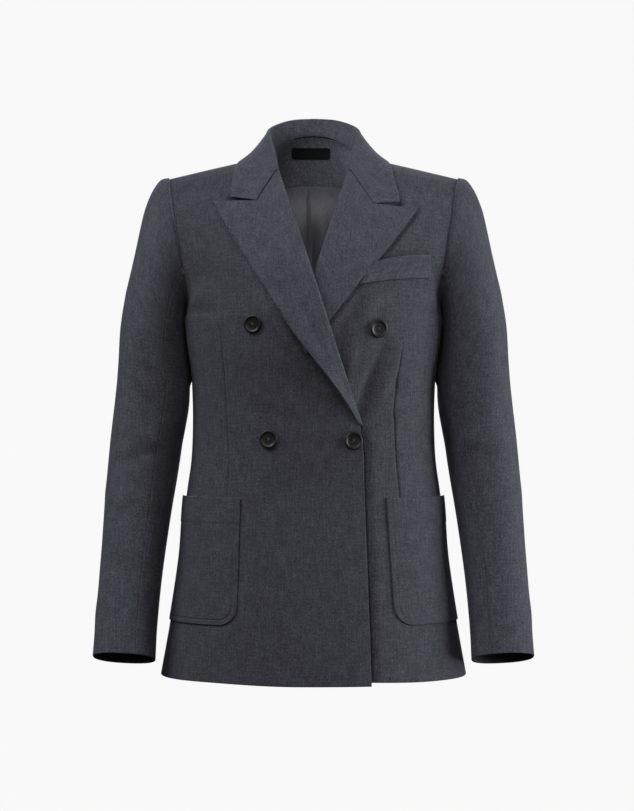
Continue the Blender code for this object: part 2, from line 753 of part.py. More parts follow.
def welt_grid(columns):
    """The welt pocket on the wearer's left, its inner end beside the lapel's edge."""
    rows = WELT[1:]
    grid = []
    for v in shares(2):
        line = []
        for u in shares(columns):
            x, bottom, top = (spline(rows, k, u * (len(rows) - 1)) for k in range(3))
            x += WELT_SLANT * v * (1 - u) ** 2 + WELT_END * (1 - u)
            line.append(on_front(LEFT, x, bottom + (top - bottom) * v, LAY))
        grid.append(line)
    return grid


def inner_grid(back, first, last, columns, distance, pleat=0.0, hem=0.0):
    """A layer inside the back, over lines first to last and this many columns a side.

    pleat lifts its middle off the back, and hem shortens its lower edge."""
    inner = offset(*back, -distance)
    grid = []
    for i in range(first, last + 1):
        half = [Vector(p) for p in inner[i][:columns + 1]]
        for line, other, trim in ((first, i + 1, hem), (last, i - 1, CLOTH)):
            if i == line:
                for p, q in zip(half, inner[other]):
                    p += (q - p).normalized() * trim
        half[0].x = 0.0
        half[0].y -= pleat * smooth(first, first + 4, i)
        grid.append([Vector((-p.x, p.y, p.z)) for p in reversed(half[1:])] + half)
    return grid


def label_grid(facing):
    """The woven label, on the cell of the facing below its top line."""
    low, high = facing[-3], facing[-2]
    middle = len(low) // 2
    normals = grid_normals(facing)
    grid = []
    for share in (LABEL["low"], LABEL["high"]):
        line = []
        for step in (-1, 0, 1):
            k = middle + step
            centre = low[middle].lerp(high[middle], share)
            corner = low[k].lerp(high[k], share)
            width = max((corner - centre).length, 1.0)
            inward = -normals[-3][k].lerp(normals[-2][k], share)
            inward = inward if inward.y < 0 else -inward
            line.append(centre.lerp(corner, LABEL["width"] / 2 / width if step else 0)
                        + inward * (CLOTH / 2 + SEAM + LABEL["thick"] / 2 + 0.2))
        grid.append(line)
    return grid


def button(name, side, x, height):
    """A turned button with a raised rim, a dished face and four thread holes."""
    profile = ((0, 0), (0.72, 0), (0.94, 0.25), (1.0, 0.55), (0.97, 0.85), (0.88, 1.0),
               (0.76, 0.96), (0.66, 1 - BUTTON_DISH / BUTTON_THICK), (0, 0.66))
    bm = bmesh.new()
    ring = [bm.verts.new((r * BUTTON_RADIUS * MM, 0, z * BUTTON_THICK * MM))
            for r, z in profile]
    edges = [bm.edges.new(pair) for pair in zip(ring, ring[1:])]
    bmesh.ops.spin(bm, geom=ring + edges, cent=(0, 0, 0), axis=(0, 0, 1),
                   angle=2 * math.pi, steps=24, use_duplicate=False)
    bmesh.ops.remove_doubles(bm, verts=bm.verts, dist=0.00001)
    made = add_object(name, bm, HORN)
    for k in range(4):
        turn = HOLE_TURN + k * math.pi / 2
        bpy.ops.mesh.primitive_cylinder_add(
            vertices=9, radius=HOLE_RADIUS * MM, depth=5 * BUTTON_THICK * MM,
            location=(HOLE_REACH * MM * math.cos(turn), HOLE_REACH * MM * math.sin(turn), 0),
            rotation=(0, 0, 0.11))
        cutter = bpy.context.object
        cutter.name = name + "_cutter"
        cutter.hide_render = True
        cutter.display_type = "WIRE"
        cut = made.modifiers.new("hole", "BOOLEAN")
        cut.operation = "DIFFERENCE"
        cut.object = cutter
        cutter.parent = made
    across, place = front_place(x * side, height)
    normal = normal_at(front_form, across, place)
    spot = on_front(side, x * side, height, CLOTH / 2 + SEAM + 0.4)
    made.location = Vector((spot.x * side, spot.y, spot.z)) * MM
    facing = Vector((normal.x * side, normal.y, normal.z))
    made.rotation_euler = facing.to_track_quat("Z", "Y").to_euler()
    return made


def main():
    for old in list(bpy.data.objects):
        bpy.data.objects.remove(old, do_unlink=True)
    back = back_grid(BACK_COLUMNS)
    collar = []
    for side, name in ((RIGHT, "right"), (LEFT, "left")):
        front = front_grid(side, FRONT_COLUMNS)
        put_wall("front_" + name, side, *front)
        put_wall("back_" + name, side, *back)
        body = skin_tree((front[0], back[0]))
        put_wall("lapel_" + name, side, lapel_grid(side, LAPEL_COLUMNS))
        put_wall("pocket_" + name, side, pocket_grid(side, POCKET_COLUMNS))
        top, under = sleeve_halves(SLEEVE_ROWS, body)
        put_wall("top_sleeve_" + name, side, *top)
        put_wall("under_sleeve_" + name, side, *under)
        half = collar_grid(side, COLLAR_ROWS, LAPEL_COLUMNS, body)
        if side == RIGHT:
            collar = mirrored(half, side)
        else:
            collar += list(reversed(half))[1:]
    wall("collar", collar, turned=(COLLAR_ROWS, 0))
    wall("welt_pocket", welt_grid(WELT_COLUMNS))
    top = len(BACK_LINES) - 1
    facing = inner_grid(back, top - FACING_LINES, top, FACING_COLUMNS, LAY)
    wall("back_facing", facing, turned=(0, FACING_COLUMNS))
    wall("neck_label", label_grid(facing), None, LABEL["thick"], BLACK, (0, 1))
    lining = inner_grid(back, 0, top - FACING_LINES, LINING_COLUMNS, LAY, PLEAT, LINING_HEM)
    wall("back_lining", lining, None, LINING, SATIN, (0, LINING_COLUMNS))
    for name, (x, height) in BUTTONS.items():
        side = LEFT if name == "button_upper_left" else RIGHT
        button(name, side, x, height)


main()
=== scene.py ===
# %% [markdown]
# # A double-breasted blazer
# A tailored jacket is a shell: flat pieces of wool are cut, shaped with darts and
# seams, and pressed until they stand up by themselves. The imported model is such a
# shell, coarse but true. Here each piece gets its cloth: the same form worked out
# finely, with rolled edges, seams, creases, weave and buttons.

# %% Load the fixed frame
import math

import bpy
import numpy as np
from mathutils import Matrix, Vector
from mathutils.bvhtree import BVHTree


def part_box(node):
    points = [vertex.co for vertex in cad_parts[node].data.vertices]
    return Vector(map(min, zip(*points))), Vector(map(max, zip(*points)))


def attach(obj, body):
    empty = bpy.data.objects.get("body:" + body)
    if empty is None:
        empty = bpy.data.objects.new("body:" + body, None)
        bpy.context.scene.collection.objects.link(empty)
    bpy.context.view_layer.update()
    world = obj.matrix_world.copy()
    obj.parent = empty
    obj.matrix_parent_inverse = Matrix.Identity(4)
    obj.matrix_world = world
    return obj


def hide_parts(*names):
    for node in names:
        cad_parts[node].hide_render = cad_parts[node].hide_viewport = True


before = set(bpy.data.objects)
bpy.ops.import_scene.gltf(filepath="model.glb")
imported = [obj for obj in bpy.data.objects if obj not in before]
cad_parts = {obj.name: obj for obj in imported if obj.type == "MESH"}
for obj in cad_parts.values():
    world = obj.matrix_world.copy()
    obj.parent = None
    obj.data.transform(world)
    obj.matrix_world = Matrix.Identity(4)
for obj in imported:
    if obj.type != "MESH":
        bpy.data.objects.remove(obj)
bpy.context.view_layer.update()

MM = 0.001
RIGHT, LEFT = -1, 1      # the wearer's sides, as signs of X
SIDES = {RIGHT: "right", LEFT: "left"}

# %% [markdown]
# ## The pattern
# A tailor drafts a jacket as a few curves at a few heights. These two tables do the
# same: each row is one level of the body form, from the hem to the shoulder seam.
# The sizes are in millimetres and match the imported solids, which each piece is
# checked against when it is made.

# %% The pattern's tables
CLOTH, LINING, SEAM = 1.5, 1.2, 0.3
COLUMNS = ("mid", "drop", "half", "depth", "side", "turn")
LOWER = (       # height, half width, front depth, back depth and side of the lower body
    (-673, 200.5, -138, 122, 4),
    (-600, 187.5, -131, 119, 4),
    (-520, 175.5, -122, 110, 4),
    (-440, 167.0, -113, 94, 4),
    (-392, 160.5, -109, 85, 4),
    (-344, 158.5, -109, 82, 4),
    (-296, 159.5, -114, 87, 5),
    (-250, 163.0, -121, 95, 6),
    (-205, 168.0, -124, 103, 8),
)
FRONT = tuple((z, 0, half, ahead, side, 90) for z, half, ahead, _, side in LOWER) + (
    (-172, 2, 166.5, -121, -30, 62),
    (-135, 5, 169.5, -114, -47, 52),
    (-95, 9, 175.0, -101, -50, 46),
    (-55, 16, 181.0, -83, -43, 42),
    (-10, 26, 186.0, -50, -27, 39),
    (7, 34, 188.5, -31, -16, 36),
    (17, 40, 189.6, -13, -7, 30),
    (20, 43, 190.0, 0, 0, 28),
)
BACK = tuple((z, 0, half, behind, side, 90) for z, half, _, behind, side in LOWER) + (
    (-172, 2, 169.0, 107, 46, 62),
    (-130, 5, 174.0, 110, 60, 52),
    (-88, 9, 180.0, 109, 62, 46),
    (-50, 16, 185.0, 104, 55, 42),
)
FRONT_TOP, BACK_TOP = len(FRONT) - 1, len(BACK)
SQUARE, SLOPE_POWER, UNDERARM_ROW, PITCH_ROW = 2.25, 1.1, 8, 10
NECK_HALF, NECK_BACK, NECK_SHARE = 57.0, (66.0, 42.0), 1 / 3
BREAK, EDGE_HEM, ROLL_NECK, GORGE = (-61.0, -344.0), -73.0, (50.5, 4.0), (44.5, -15.0)
BREAK_ROW, GORGE_ROW = 5.0, 13.0
V_BOTTOM, LAY, TURN = -150.0, CLOTH + SEAM + 0.7, 2.4
BREAK_EASE, NECK_CUT, NECK_EASE, CROSS_EASE, LAPEL_EASE = 45.0, 7.0, 8.0, 90.0, 100.0
OVERLAP_FADE, UNDER_FADE, UNDER_ROOM = (80.0, 140.0), (30.0, 100.0), 2 * LAY + 0.8
HEM_STEP, HEM_EASE = {RIGHT: -3.0, LEFT: 3.0}, (90.0, 20.0, 150.0)

# %% Curves through a table
def hermite(a, b, slope_a, slope_b, t):
    """A cubic from a to b with the given end slopes."""
    t2, t3 = t * t, t * t * t
    return (a * (2 * t3 - 3 * t2 + 1) + slope_a * (t3 - 2 * t2 + t)
            + b * (3 * t2 - 2 * t3) + slope_b * (t3 - t2))


def through(values, place):
    """Read a list of numbers at fractional places, along a smooth curve."""
    values, place = np.asarray(values, float), np.asarray(place, float)
    last = len(values) - 1
    low = np.clip(place.astype(int), 0, last - 1)
    a, b = values[low], values[low + 1]
    slope_a = (b - values[np.maximum(low - 1, 0)]) / np.where(low > 0, 2, 1)
    slope_b = (values[np.minimum(low + 2, last)] - a) / np.where(low < last - 1, 2, 1)
    return hermite(a, b, slope_a, slope_b, place - low)


def smooth(low, high, value):
    """0 below low, 1 above high, and a soft step between."""
    t = np.clip((np.asarray(value, float) - low) / (high - low), 0, 1)
    return t * t * (3 - 2 * t)


def bump(distance, width):
    """1 at distance 0, falling softly to nothing past the width."""
    return np.exp(-(np.asarray(distance) / width) ** 2)


def stack(*parts):
    """Three arrays, or numbers, as one array of points."""
    return np.stack(np.broadcast_arrays(*parts), axis=-1).astype(float)


def unit(vectors):
    """Vectors at length one."""
    return vectors / np.maximum(np.linalg.norm(vectors, axis=-1, keepdims=True), 1e-9)


def travelled(points):
    """Length along a line of points, from its start."""
    steps = np.linalg.norm(np.diff(points, axis=0), axis=1)
    return np.concatenate(([0.0], np.cumsum(steps)))


def along(points, share):
    """Points at shares of the length of a line."""
    points = np.asarray(points, float)
    way = travelled(points)
    return np.stack([np.interp(np.asarray(share) * way[-1], way, points[:, k])
                     for k in range(points.shape[1])], axis=-1)


# %% [markdown]
# ## The body form
# Every panel lies on one smooth form. A section is a rounded quarter turn, a little
# squarer than an ellipse, because a canvassed chest is flatter in front than a
# barrel. Above the underarm its end is the armhole's edge, not a side seam.

# %% The body form
def section_sizes(table, place):
    """A section's sizes. The row's end changes direction at the underarm."""
    place = np.asarray(place, float)
    sizes = {}
    for k, name in enumerate(COLUMNS):
        column = [row[k] for row in table]
        if name in ("half", "side", "turn"):
            body = through(column[:UNDERARM_ROW + 1], np.minimum(place, UNDERARM_ROW))
            armhole = through(column[UNDERARM_ROW:], np.maximum(place - UNDERARM_ROW, 0))
            sizes[name] = np.where(place <= UNDERARM_ROW, body, armhole)
        else:
            sizes[name] = through(column, place)
    return sizes


def section(table, across, place):
    """Points of the form: across runs 0..1 from the middle to the row's end."""
    s = section_sizes(table, place)
    full = np.radians(np.minimum(s["turn"], 90.0))
    angle = full * np.abs(across)
    power = 2 / SQUARE
    reach = (np.abs(np.sin(angle)) / np.sin(full)) ** power
    fallen, whole = (1 - np.maximum(np.cos(a), 0) ** power for a in (angle, full))
    return stack(np.copysign(s["half"] * reach, across),
                 s["depth"] + (s["side"] - s["depth"]) * (fallen / whole),
                 s["mid"] - s["drop"] * reach ** SLOPE_POWER)


def across_at(table, place, x):
    """The across value whose point has this X."""
    s = section_sizes(table, place)
    full = np.radians(np.minimum(s["turn"], 90.0))
    reach = np.minimum(np.abs(x) / s["half"], 1.0)
    return np.copysign(np.arcsin(reach ** (SQUARE / 2) * np.sin(full)) / full, x)


def shoulder(x):
    """Height of the shoulder seam at an X."""
    mid, drop, half = FRONT[-1][:3]
    return mid - drop * (np.abs(x) / half) ** SLOPE_POWER


def front_form(across, place):
    return section(FRONT, across, place)


def back_form(across, place):
    """The back. Above the shoulder blades it bends over to the neck and shoulders."""
    across, place = np.broadcast_arrays(np.asarray(across, float), np.asarray(place, float))
    last = BACK_TOP - 1
    below = section(BACK, across, np.minimum(place, last))
    low = section(BACK, across, last)
    rise = (low - section(BACK, across, last - 0.2)) * 5
    turn = np.radians(90) * np.clip(across / NECK_SHARE, -1, 1)
    side = shoulder(NECK_HALF)
    neck = stack(NECK_HALF * np.sin(turn), NECK_BACK[0] * np.maximum(np.cos(turn), 0) ** 0.9,
                 side + (NECK_BACK[1] - side) * np.cos(turn))
    share = (np.abs(across) - NECK_SHARE) / (1 - NECK_SHARE)
    x = NECK_HALF + (FRONT[-1][2] - NECK_HALF) * share
    seam = stack(np.copysign(x, across), 0.0, shoulder(x))
    on_neck = (np.abs(across) < NECK_SHARE)[..., None]
    lean = np.where(np.abs(across) < NECK_SHARE, np.abs(np.sin(turn)), 1.0)
    end = stack(0.0, -45 - 40 * lean, 55 - 30 * lean)
    over = hermite(low, np.where(on_neck, neck, seam), rise * 1.6, end,
                   np.maximum(place - last, 0)[..., None])
    return np.where((place <= last)[..., None], below, over)


def normal_at(form, across, place):
    """Outward normals of a form."""
    step = 0.01
    sideways = form(across + step, place) - form(across - step, place)
    top = FRONT_TOP if form is front_form else BACK_TOP
    up = form(across, np.minimum(place + step, top)) - form(across, np.maximum(place - step, 0))
    normal = unit(np.cross(sideways, up))
    return normal if form is front_form else -normal


def front_place(x, height):
    """Across and place of the point of the front with this X and height."""
    x, height = np.broadcast_arrays(np.asarray(x, float), np.asarray(height, float))
    low, high = np.zeros_like(height), np.full_like(height, float(FRONT_TOP))
    for _ in range(30):
        place = (low + high) / 2
        under = section(FRONT, across_at(FRONT, place, x), place)[..., 2] < height
        low, high = np.where(under, place, low), np.where(under, high, place)
    return across_at(FRONT, low, x), low


# %% [markdown]
# ## Where the fronts open
# The right front laps over the left. Its inner edge is a straight front edge up to
# the break, and then the roll line, where the lapel turns back. The under front and
# its lapel need room, so the over front stands a few millimetres further out there.

# %% The front edge and the overlap
def edge_x(height):
    """X of a front's own inner edge: it draws into the lapel's fold and the collar."""
    height = np.asarray(height, float)
    down = (BREAK[1] - height) / (BREAK[1] - FRONT[0][0])
    up = (height - BREAK[1]) / (ROLL_NECK[1] - BREAK[1])
    outline = np.where(height < BREAK[1], BREAK[0] + (EDGE_HEM - BREAK[0]) * down,
                       BREAK[0] + (ROLL_NECK[0] - BREAK[0]) * up)
    fold = smooth(BREAK[1] - BREAK_EASE, BREAK[1], height)
    neck = smooth(GORGE[1], GORGE[1] + NECK_EASE, height)
    return outline + (TURN + CLOTH / 2) * fold + NECK_CUT * neck


def edge_across(place):
    """Across value of a front's own edge at a place."""
    across = np.zeros_like(np.asarray(place, float))
    for _ in range(8):
        across = across_at(FRONT, place, edge_x(front_form(across, place)[..., 2]))
    return across


def front_lift(side, x, height):
    """How far a front's middle is moved out to clear what lies under it."""
    if side == LEFT:
        return np.zeros_like(np.asarray(x, float) + height)
    crossed = 1 - smooth(V_BOTTOM, V_BOTTOM + CROSS_EASE, height)
    under = smooth(BREAK[1] - LAPEL_EASE, BREAK[1], height) * (1 - smooth(*UNDER_FADE, x))
    return crossed * (LAY * (1 - smooth(*OVERLAP_FADE, x)) + UNDER_ROOM * under)


def hem_step(side, x, height):
    """How much a front's hem hangs lower or higher beside the front edge."""
    tall, near, far = HEM_EASE
    low = 1 - smooth(FRONT[0][0], FRONT[0][0] + tall, height)
    return HEM_STEP[side] * low * (1 - smooth(near, far, x))


def curve(points, t):
    """A smooth curve through points, at shares of their number."""
    points = np.asarray(points, float)
    place = np.asarray(t) * (len(points) - 1)
    return np.stack([through(points[:, k], place) for k in range(points.shape[1])], axis=-1)


# %% [markdown]
# ## The lapels' outline
# A lapel's own edge is drawn flat on the chest. It is needed early, because the front
# sinks a little where the lapel's edge presses on it. That dip holds the shadow which
# makes a lapel stand out from cloth of the same colour.

# %% Outline of the lapels, and the dip beside it
LAPEL_EDGE = {      # X and height on the own side, from the break up
    RIGHT: ((-57, -344), (-21, -285), (24.5, -225), (60.5, -168), (100, -108)),
    LEFT: ((-57, -344), (-28, -285), (10, -225), (54, -168), (99, -113)),
}
LAPEL_CORNERS = {
    RIGHT: {"notch": (72, -58), "peak": (128.5, -57), "tip": (107, -51)},
    LEFT: {"notch": (76, -62), "peak": (133, -67), "tip": (110, -58)},
}
WELT = (("x", "bottom", "top"),
        (57, -165.5, -137), (90, -160, -132), (119, -156.5, -128), (149, -154, -126))
DIP_DEPTH, DIP_UNDER, DIP_OUT = 2.4, 3.0, (1.2, 8.0)
ROLL_DIP, ROLL_OUT, ROLL_HEIGHTS = 1.6, 9.0, (-335.0, -225.0)    # more, low on the roll
PIT_DEPTH, PIT_WIDTH = 7.0, 4.2
EDGE_DIP, EDGE_OUT, EDGE_SLIT = 2.8, (1.2, 15.0), (2.6, 1.7)
WELT_DIP, WELT_OUT = 3.2, (0.8, 8.0)


def beside_line(line, x, z):
    """Signed distance from a line of points, positive on its right hand going up."""
    best, sign = np.full(np.shape(x), 1e9), np.ones(np.shape(x))
    for a, b in zip(line[:-1], line[1:]):
        run = b - a
        t = np.clip(((x - a[0]) * run[0] + (z - a[1]) * run[1]) / (run @ run), 0, 1)
        dx, dz = x - a[0] - t * run[0], z - a[1] - t * run[1]
        away = np.hypot(dx, dz)
        closer = away < best
        sign = np.where(closer, np.sign(dx * run[1] - dz * run[0]), sign)
        best = np.where(closer, away, best)
    return best * np.where(sign == 0, 1, sign)


def lapel_dip(side, x, z):
    """How deep a front sinks beside its lapel's edge and inside the notch."""
    corners = LAPEL_CORNERS[side]
    edge = curve(LAPEL_EDGE[side] + (corners["peak"],), np.linspace(0, 1, 40))
    off = beside_line(edge, x, z)
    low = 1 - smooth(*ROLL_HEIGHTS, z)
    fade = 1 - smooth(0, 1, (off - DIP_OUT[0]) / (DIP_OUT[1] - DIP_OUT[0] + ROLL_OUT * low))
    depth = (DIP_DEPTH + ROLL_DIP * low) * smooth(-DIP_UNDER, 0, off) * fade
    depth = depth * smooth(edge[0, 1] - 6, edge[0, 1] + 30, z) * (z < corners["peak"][1] + 12)
    notch, peak, tip = (np.array(corners[k], float) for k in ("notch", "peak", "tip"))
    share = (tip[0] - notch[0]) / (peak[0] - notch[0])
    end = (tip + notch + (peak - notch) * share) / 2
    pit = beside_line(np.stack((notch, notch + (end - notch) * 0.5, end)), x, z)
    depth = np.maximum(depth, PIT_DEPTH * bump(np.abs(pit), PIT_WIDTH))
    if side == LEFT:
        off = x + edge_x(z)
        under = EDGE_DIP * smooth(-DIP_UNDER, 0, off) * (1 - smooth(*EDGE_OUT, off))
        under = under + EDGE_SLIT[0] * bump(off - 1.0, EDGE_SLIT[1])
        depth = depth + under * (1 - smooth(BREAK[1] - 12, BREAK[1] + 4, z))
        first, last = WELT[1][0], WELT[-1][0]
        off = z - through([row[2] for row in WELT[1:]],
                          (x - first).clip(0, last - first) / (last - first) * (len(WELT) - 2))
        above = WELT_DIP * smooth(-DIP_UNDER, 0, off) * (1 - smooth(*WELT_OUT, off))
        ends = smooth(first + 8, first + 22, x) * (1 - smooth(last - 4, last, x))
        depth = depth + above * ends
    return depth


# %% [markdown]
# ## Creases
# Wool that is held at a button and a shoulder pulls into soft drags between them.
# Each crease is a stroke: where it starts and ends, how wide and how deep it is. A ridge is
# positive and a trough is negative.

# %% Creases of the fronts
FRONT_CREASES = {       # X and height of both ends, width, and how far it stands off
    RIGHT: (
        (118, -62, 112, -205, 15, 1.5),
        (68, -184, 6, -272, 8, 4.2),
        (42, -206, -18, -294, 6.5, -2.8),
        (84, -196, 46, -250, 9, -2.4),
        (58, -246, 104, -176, 10, 1.0),
        (-18, -338, 58, -268, 13, -1.4),
        (-30, -350, 104, -318, 11, -1.1),
        (-8, -388, 92, -424, 15, 1.2),
        (-34, -400, -22, -600, 22, -1.0),
        (40, -440, 22, -640, 20, 1.2),
        (78, -585, 66, -668, 14, -1.2),
    ),
    LEFT: (
        (54, -336, 92, -238, 8.5, -6.4),
        (26, -242, 62, -180, 10, -5.6),
        (40, -310, 54, -226, 8, 3.2),
        (76, -336, 112, -250, 9, 2.6),
        (92, -312, 112, -276, 5, -2.0),
        (52, -350, 122, -292, 10, 1.8),
        (60, -352, 128, -318, 8, -2.2),
        (74, -372, 140, -352, 10, -1.0),
        (110, -56, 122, -118, 16, 1.0),
        (84, -452, 62, -640, 16, -1.1),
        (60, -410, 46, -560, 15, 1.1),
    ),
}
# The chest's canvas fills the hollow in front of the underarm: how far it stands off,
# and where it rises and falls across and up the front.
CANVAS, CANVAS_X, CANVAS_Z = 6.2, (85, 145, 146, 166), (-206, -186, -184, -148)
STROKE_ENDS = 0.35      # what is left of a stroke's height at its ends


def rise_and_fall(spans, value):
    """A soft step up over the first two values, and down over the last two."""
    return smooth(*spans[:2], value) * (1 - smooth(*spans[2:], value))


def strokes(table, x, z):
    """The sum of a table's soft strokes at points."""
    total = np.zeros_like(np.asarray(x, float) + z)
    for x0, z0, x1, z1, width, height in table:
        run = np.array((x1 - x0, z1 - z0), float)
        t = ((x - x0) * run[0] + (z - z0) * run[1]) / (run @ run)
        near = np.clip(t, 0, 1)
        away = np.hypot(x - x0 - near * run[0], z - z0 - near * run[1])
        fade = STROKE_ENDS + (1 - STROKE_ENDS) * np.sin(np.pi * np.clip(t, 0.02, 0.98))
        total += height * bump(away, width) * fade
    return total


def front_relief(side, x, z):
    """How far a front's cloth stands off the plain form, creases included."""
    canvas = CANVAS * rise_and_fall(CANVAS_X, x) * rise_and_fall(CANVAS_Z, z)
    return front_lift(side, x, z) + strokes(FRONT_CREASES[side], x, z) + canvas


def on_front(side, x, height, lift=0.0):
    """Points that lie over a front: X and height on its own side, and how far out."""
    across, place = front_place(x, height)
    out = (front_relief(side, x, height) + lift)[..., None]
    return front_form(across, place) + normal_at(front_form, across, place) * out


print("body form from", front_form(0.0, 0.0).round(1), "to", front_form(0.0, 16.0).round(1))

# %% [markdown]
# ## Cloth as a thin shell
# A panel is a grid of points on the form. It becomes cloth when it gets two faces
# and a rim. A free edge, such as a hem, is turned and pressed, so its rim is round.
# At a seam the edge rolls inwards instead, which is what makes a seam show as a
# fine dark line. The UV map is the flat cloth in metres, so that the weave keeps its
# size and runs along the grain.

# %% Make a shell from a grid
ROLL = {"free": (0.8, 0.75), "seam": (0.3, 0.3)}     # face height and rim reach, as shares


def grid_normals(grid):
    """Unit normals of a grid of points."""
    return unit(np.cross(np.gradient(grid, axis=1), np.gradient(grid, axis=0)))


def tight(count, length, near=(0.7, 1.8)):
    """Even shares from 0 to 1, with extra lines close to both ends, in millimetres."""
    extra = [d / length for d in near]
    return np.array(sorted(set(np.linspace(0, 1, count + 1)) | set(extra)
                           | {1 - e for e in extra}))


def even_places(form, low, high, spacing, across=0.5):
    """Places along a form at about even lengths, tight at the ends."""
    dense = np.linspace(low, high, 600)
    way = travelled(form(np.full(600, across), dense))
    shares = tight(max(int(way[-1] / spacing), 2), way[-1])
    return np.interp(shares * way[-1], way, dense)


def grain(grid, start=0.0, middle=None, turned=0.0):
    """The flat cloth's coordinates in millimetres, turned by some degrees."""
    step = np.linalg.norm(np.diff(grid, axis=1), axis=2)
    across = np.concatenate((np.zeros((len(grid), 1)), np.cumsum(step, axis=1)), axis=1)
    across = across + np.broadcast_to(start, (len(grid),))[:, None]
    column = grid.shape[1] // 2 if middle is None else middle
    up = np.broadcast_to(travelled(grid[:, column])[:, None], across.shape)
    c, s = math.cos(math.radians(turned)), math.sin(math.radians(turned))
    return np.stack((across * c - up * s, across * s + up * c), axis=-1)


def grid_faces(index):
    """The four corners of each cell in a grid of point numbers."""
    cells = np.stack((index[:-1, :-1], index[:-1, 1:], index[1:, 1:], index[1:, :-1]), axis=-1)
    return cells.reshape(-1, 4)


def new_piece(name, points, faces, edges=()):
    """An object at the origin made from points, edges and faces."""
    mesh = bpy.data.meshes.new(name)
    mesh.from_pydata(points, edges, faces)
    piece = bpy.data.objects.new(name, mesh)
    bpy.context.collection.objects.link(piece)
    return piece


def only(piece):
    """Select one object and make it the active one."""
    bpy.ops.object.select_all(action="DESELECT")
    bpy.context.view_layer.objects.active = piece
    piece.select_set(True)


def shell(name, grid, normals, flat, thickness=CLOTH, sides=("free",) * 4, layer=0.0):
    """A closed shell in metres. sides are its low, high, first and last edges."""
    rows, columns = grid.shape[:2]
    half = thickness / 2
    face, reach = np.ones((rows, columns)), np.zeros((rows, columns))
    out = np.zeros_like(grid)
    spots = ((np.s_[0, :], np.s_[1, :]), (np.s_[-1, :], np.s_[-2, :]),
             (np.s_[:, 0], np.s_[:, 1]), (np.s_[:, -1], np.s_[:, -2]))
    for (edge, beside), kind in zip(spots, sides):
        face[edge] = np.minimum(face[edge], ROLL[kind][0])
        reach[edge] = np.maximum(reach[edge], ROLL[kind][1] * half)
        out[edge] += unit(grid[edge] - grid[beside])
    middle = grid + normals * layer
    lift = normals * (half * face)[..., None]
    ring = ([(0, j) for j in range(columns)] + [(i, columns - 1) for i in range(1, rows)]
            + [(rows - 1, j) for j in range(columns - 2, -1, -1)]
            + [(i, 0) for i in range(rows - 2, 0, -1)])
    at = tuple(np.array(ring).T)
    rim = middle[at] + unit(out[at]) * reach[at][:, None]
    points = np.concatenate([(middle + lift).reshape(-1, 3),
                             (middle - lift).reshape(-1, 3), rim])
    index = np.arange(rows * columns).reshape(rows, columns)
    outer = grid_faces(index)
    inner = outer[:, ::-1] + rows * columns
    edge, count = index[at], len(ring)
    mid = 2 * rows * columns + np.arange(count)
    following = np.roll(np.arange(count), -1)
    over = np.stack((edge, mid, mid[following], edge[following]), axis=-1)
    under = np.stack((mid, edge + rows * columns, edge[following] + rows * columns,
                      mid[following]), axis=-1)
    faces = np.concatenate((outer, inner, over, under))
    piece = new_piece(name, (points * MM).tolist(), faces.tolist())
    cloth_map = piece.data.uv_layers.new(name="cloth")
    at_point = np.concatenate((flat.reshape(-1, 2), flat.reshape(-1, 2), flat[at])) * MM
    corners = np.empty(len(piece.data.loops), int)
    piece.data.loops.foreach_get("vertex_index", corners)
    cloth_map.data.foreach_set("uv", at_point[corners].ravel())
    tidy_faces(piece)
    return piece


def tidy_faces(piece):
    """Turn a closed piece's faces outwards and shade it smooth."""
    only(piece)
    bpy.ops.object.mode_set(mode="EDIT")
    bpy.ops.mesh.select_all(action="SELECT")
    bpy.ops.mesh.normals_make_consistent(inside=False)
    bpy.ops.object.mode_set(mode="OBJECT")
    bpy.ops.object.shade_smooth()
    piece.select_set(False)


def on_side(grid, side):
    """Points made on the wearer's left, put on the given side."""
    return grid * np.array((side, 1.0, 1.0))


def sided(name, side, grid, normals, flat, **choices):
    """A shell put on the given side, named for it."""
    return shell(f"cloth_{name}_{SIDES[side]}", on_side(grid, side), on_side(normals, side),
                 flat, **choices)


def join_body(piece, finish):
    """Give a piece its finish and let it move with the jacket."""
    piece.data.materials.clear()
    piece.data.materials.append(finish)
    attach(piece, "root")


def sew(piece, node, finish):
    """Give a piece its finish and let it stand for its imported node."""
    join_body(piece, finish)
    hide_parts(node)
    low, high = (np.array(c) * 1000 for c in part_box(node))
    points = np.empty(len(piece.data.vertices) * 3)
    piece.data.vertices.foreach_get("co", points)
    points = points.reshape(-1, 3) * 1000
    off = max(np.abs(points.min(0) - low).max(), np.abs(points.max(0) - high).max())
    print(f"{piece.name}: {len(piece.data.polygons)} faces, {off:.1f} mm off its node's box")


# %% Plain finishes to start from
def linear(code):
    """An sRGB hex colour as linear values."""
    values = [int(code[k:k + 2], 16) / 255 for k in (1, 3, 5)]
    return [v / 12.92 if v <= 0.04045 else ((v + 0.055) / 1.055) ** 2.4 for v in values] + [1.0]


def blank_finish(name, **inputs):
    """A new material, its node tree and its shader with some inputs set."""
    made = bpy.data.materials.new(name)
    made.use_nodes = True
    shader = made.node_tree.nodes["Principled BSDF"]
    for label, value in inputs.items():
        shader.inputs[label.replace("_", " ")].default_value = value
    return made, made.node_tree, shader


def add(tree, kind, links=(), **settings):
    """Add a node with its settings, and link sockets into it by number or name."""
    node = tree.nodes.new(kind)
    for name, value in settings.items():
        if hasattr(node, name):
            setattr(node, name, value)
        else:
            node.inputs[name.replace("_", " ")].default_value = value
    for socket, source in links:
        tree.links.new(source, node.inputs[socket])
    return node


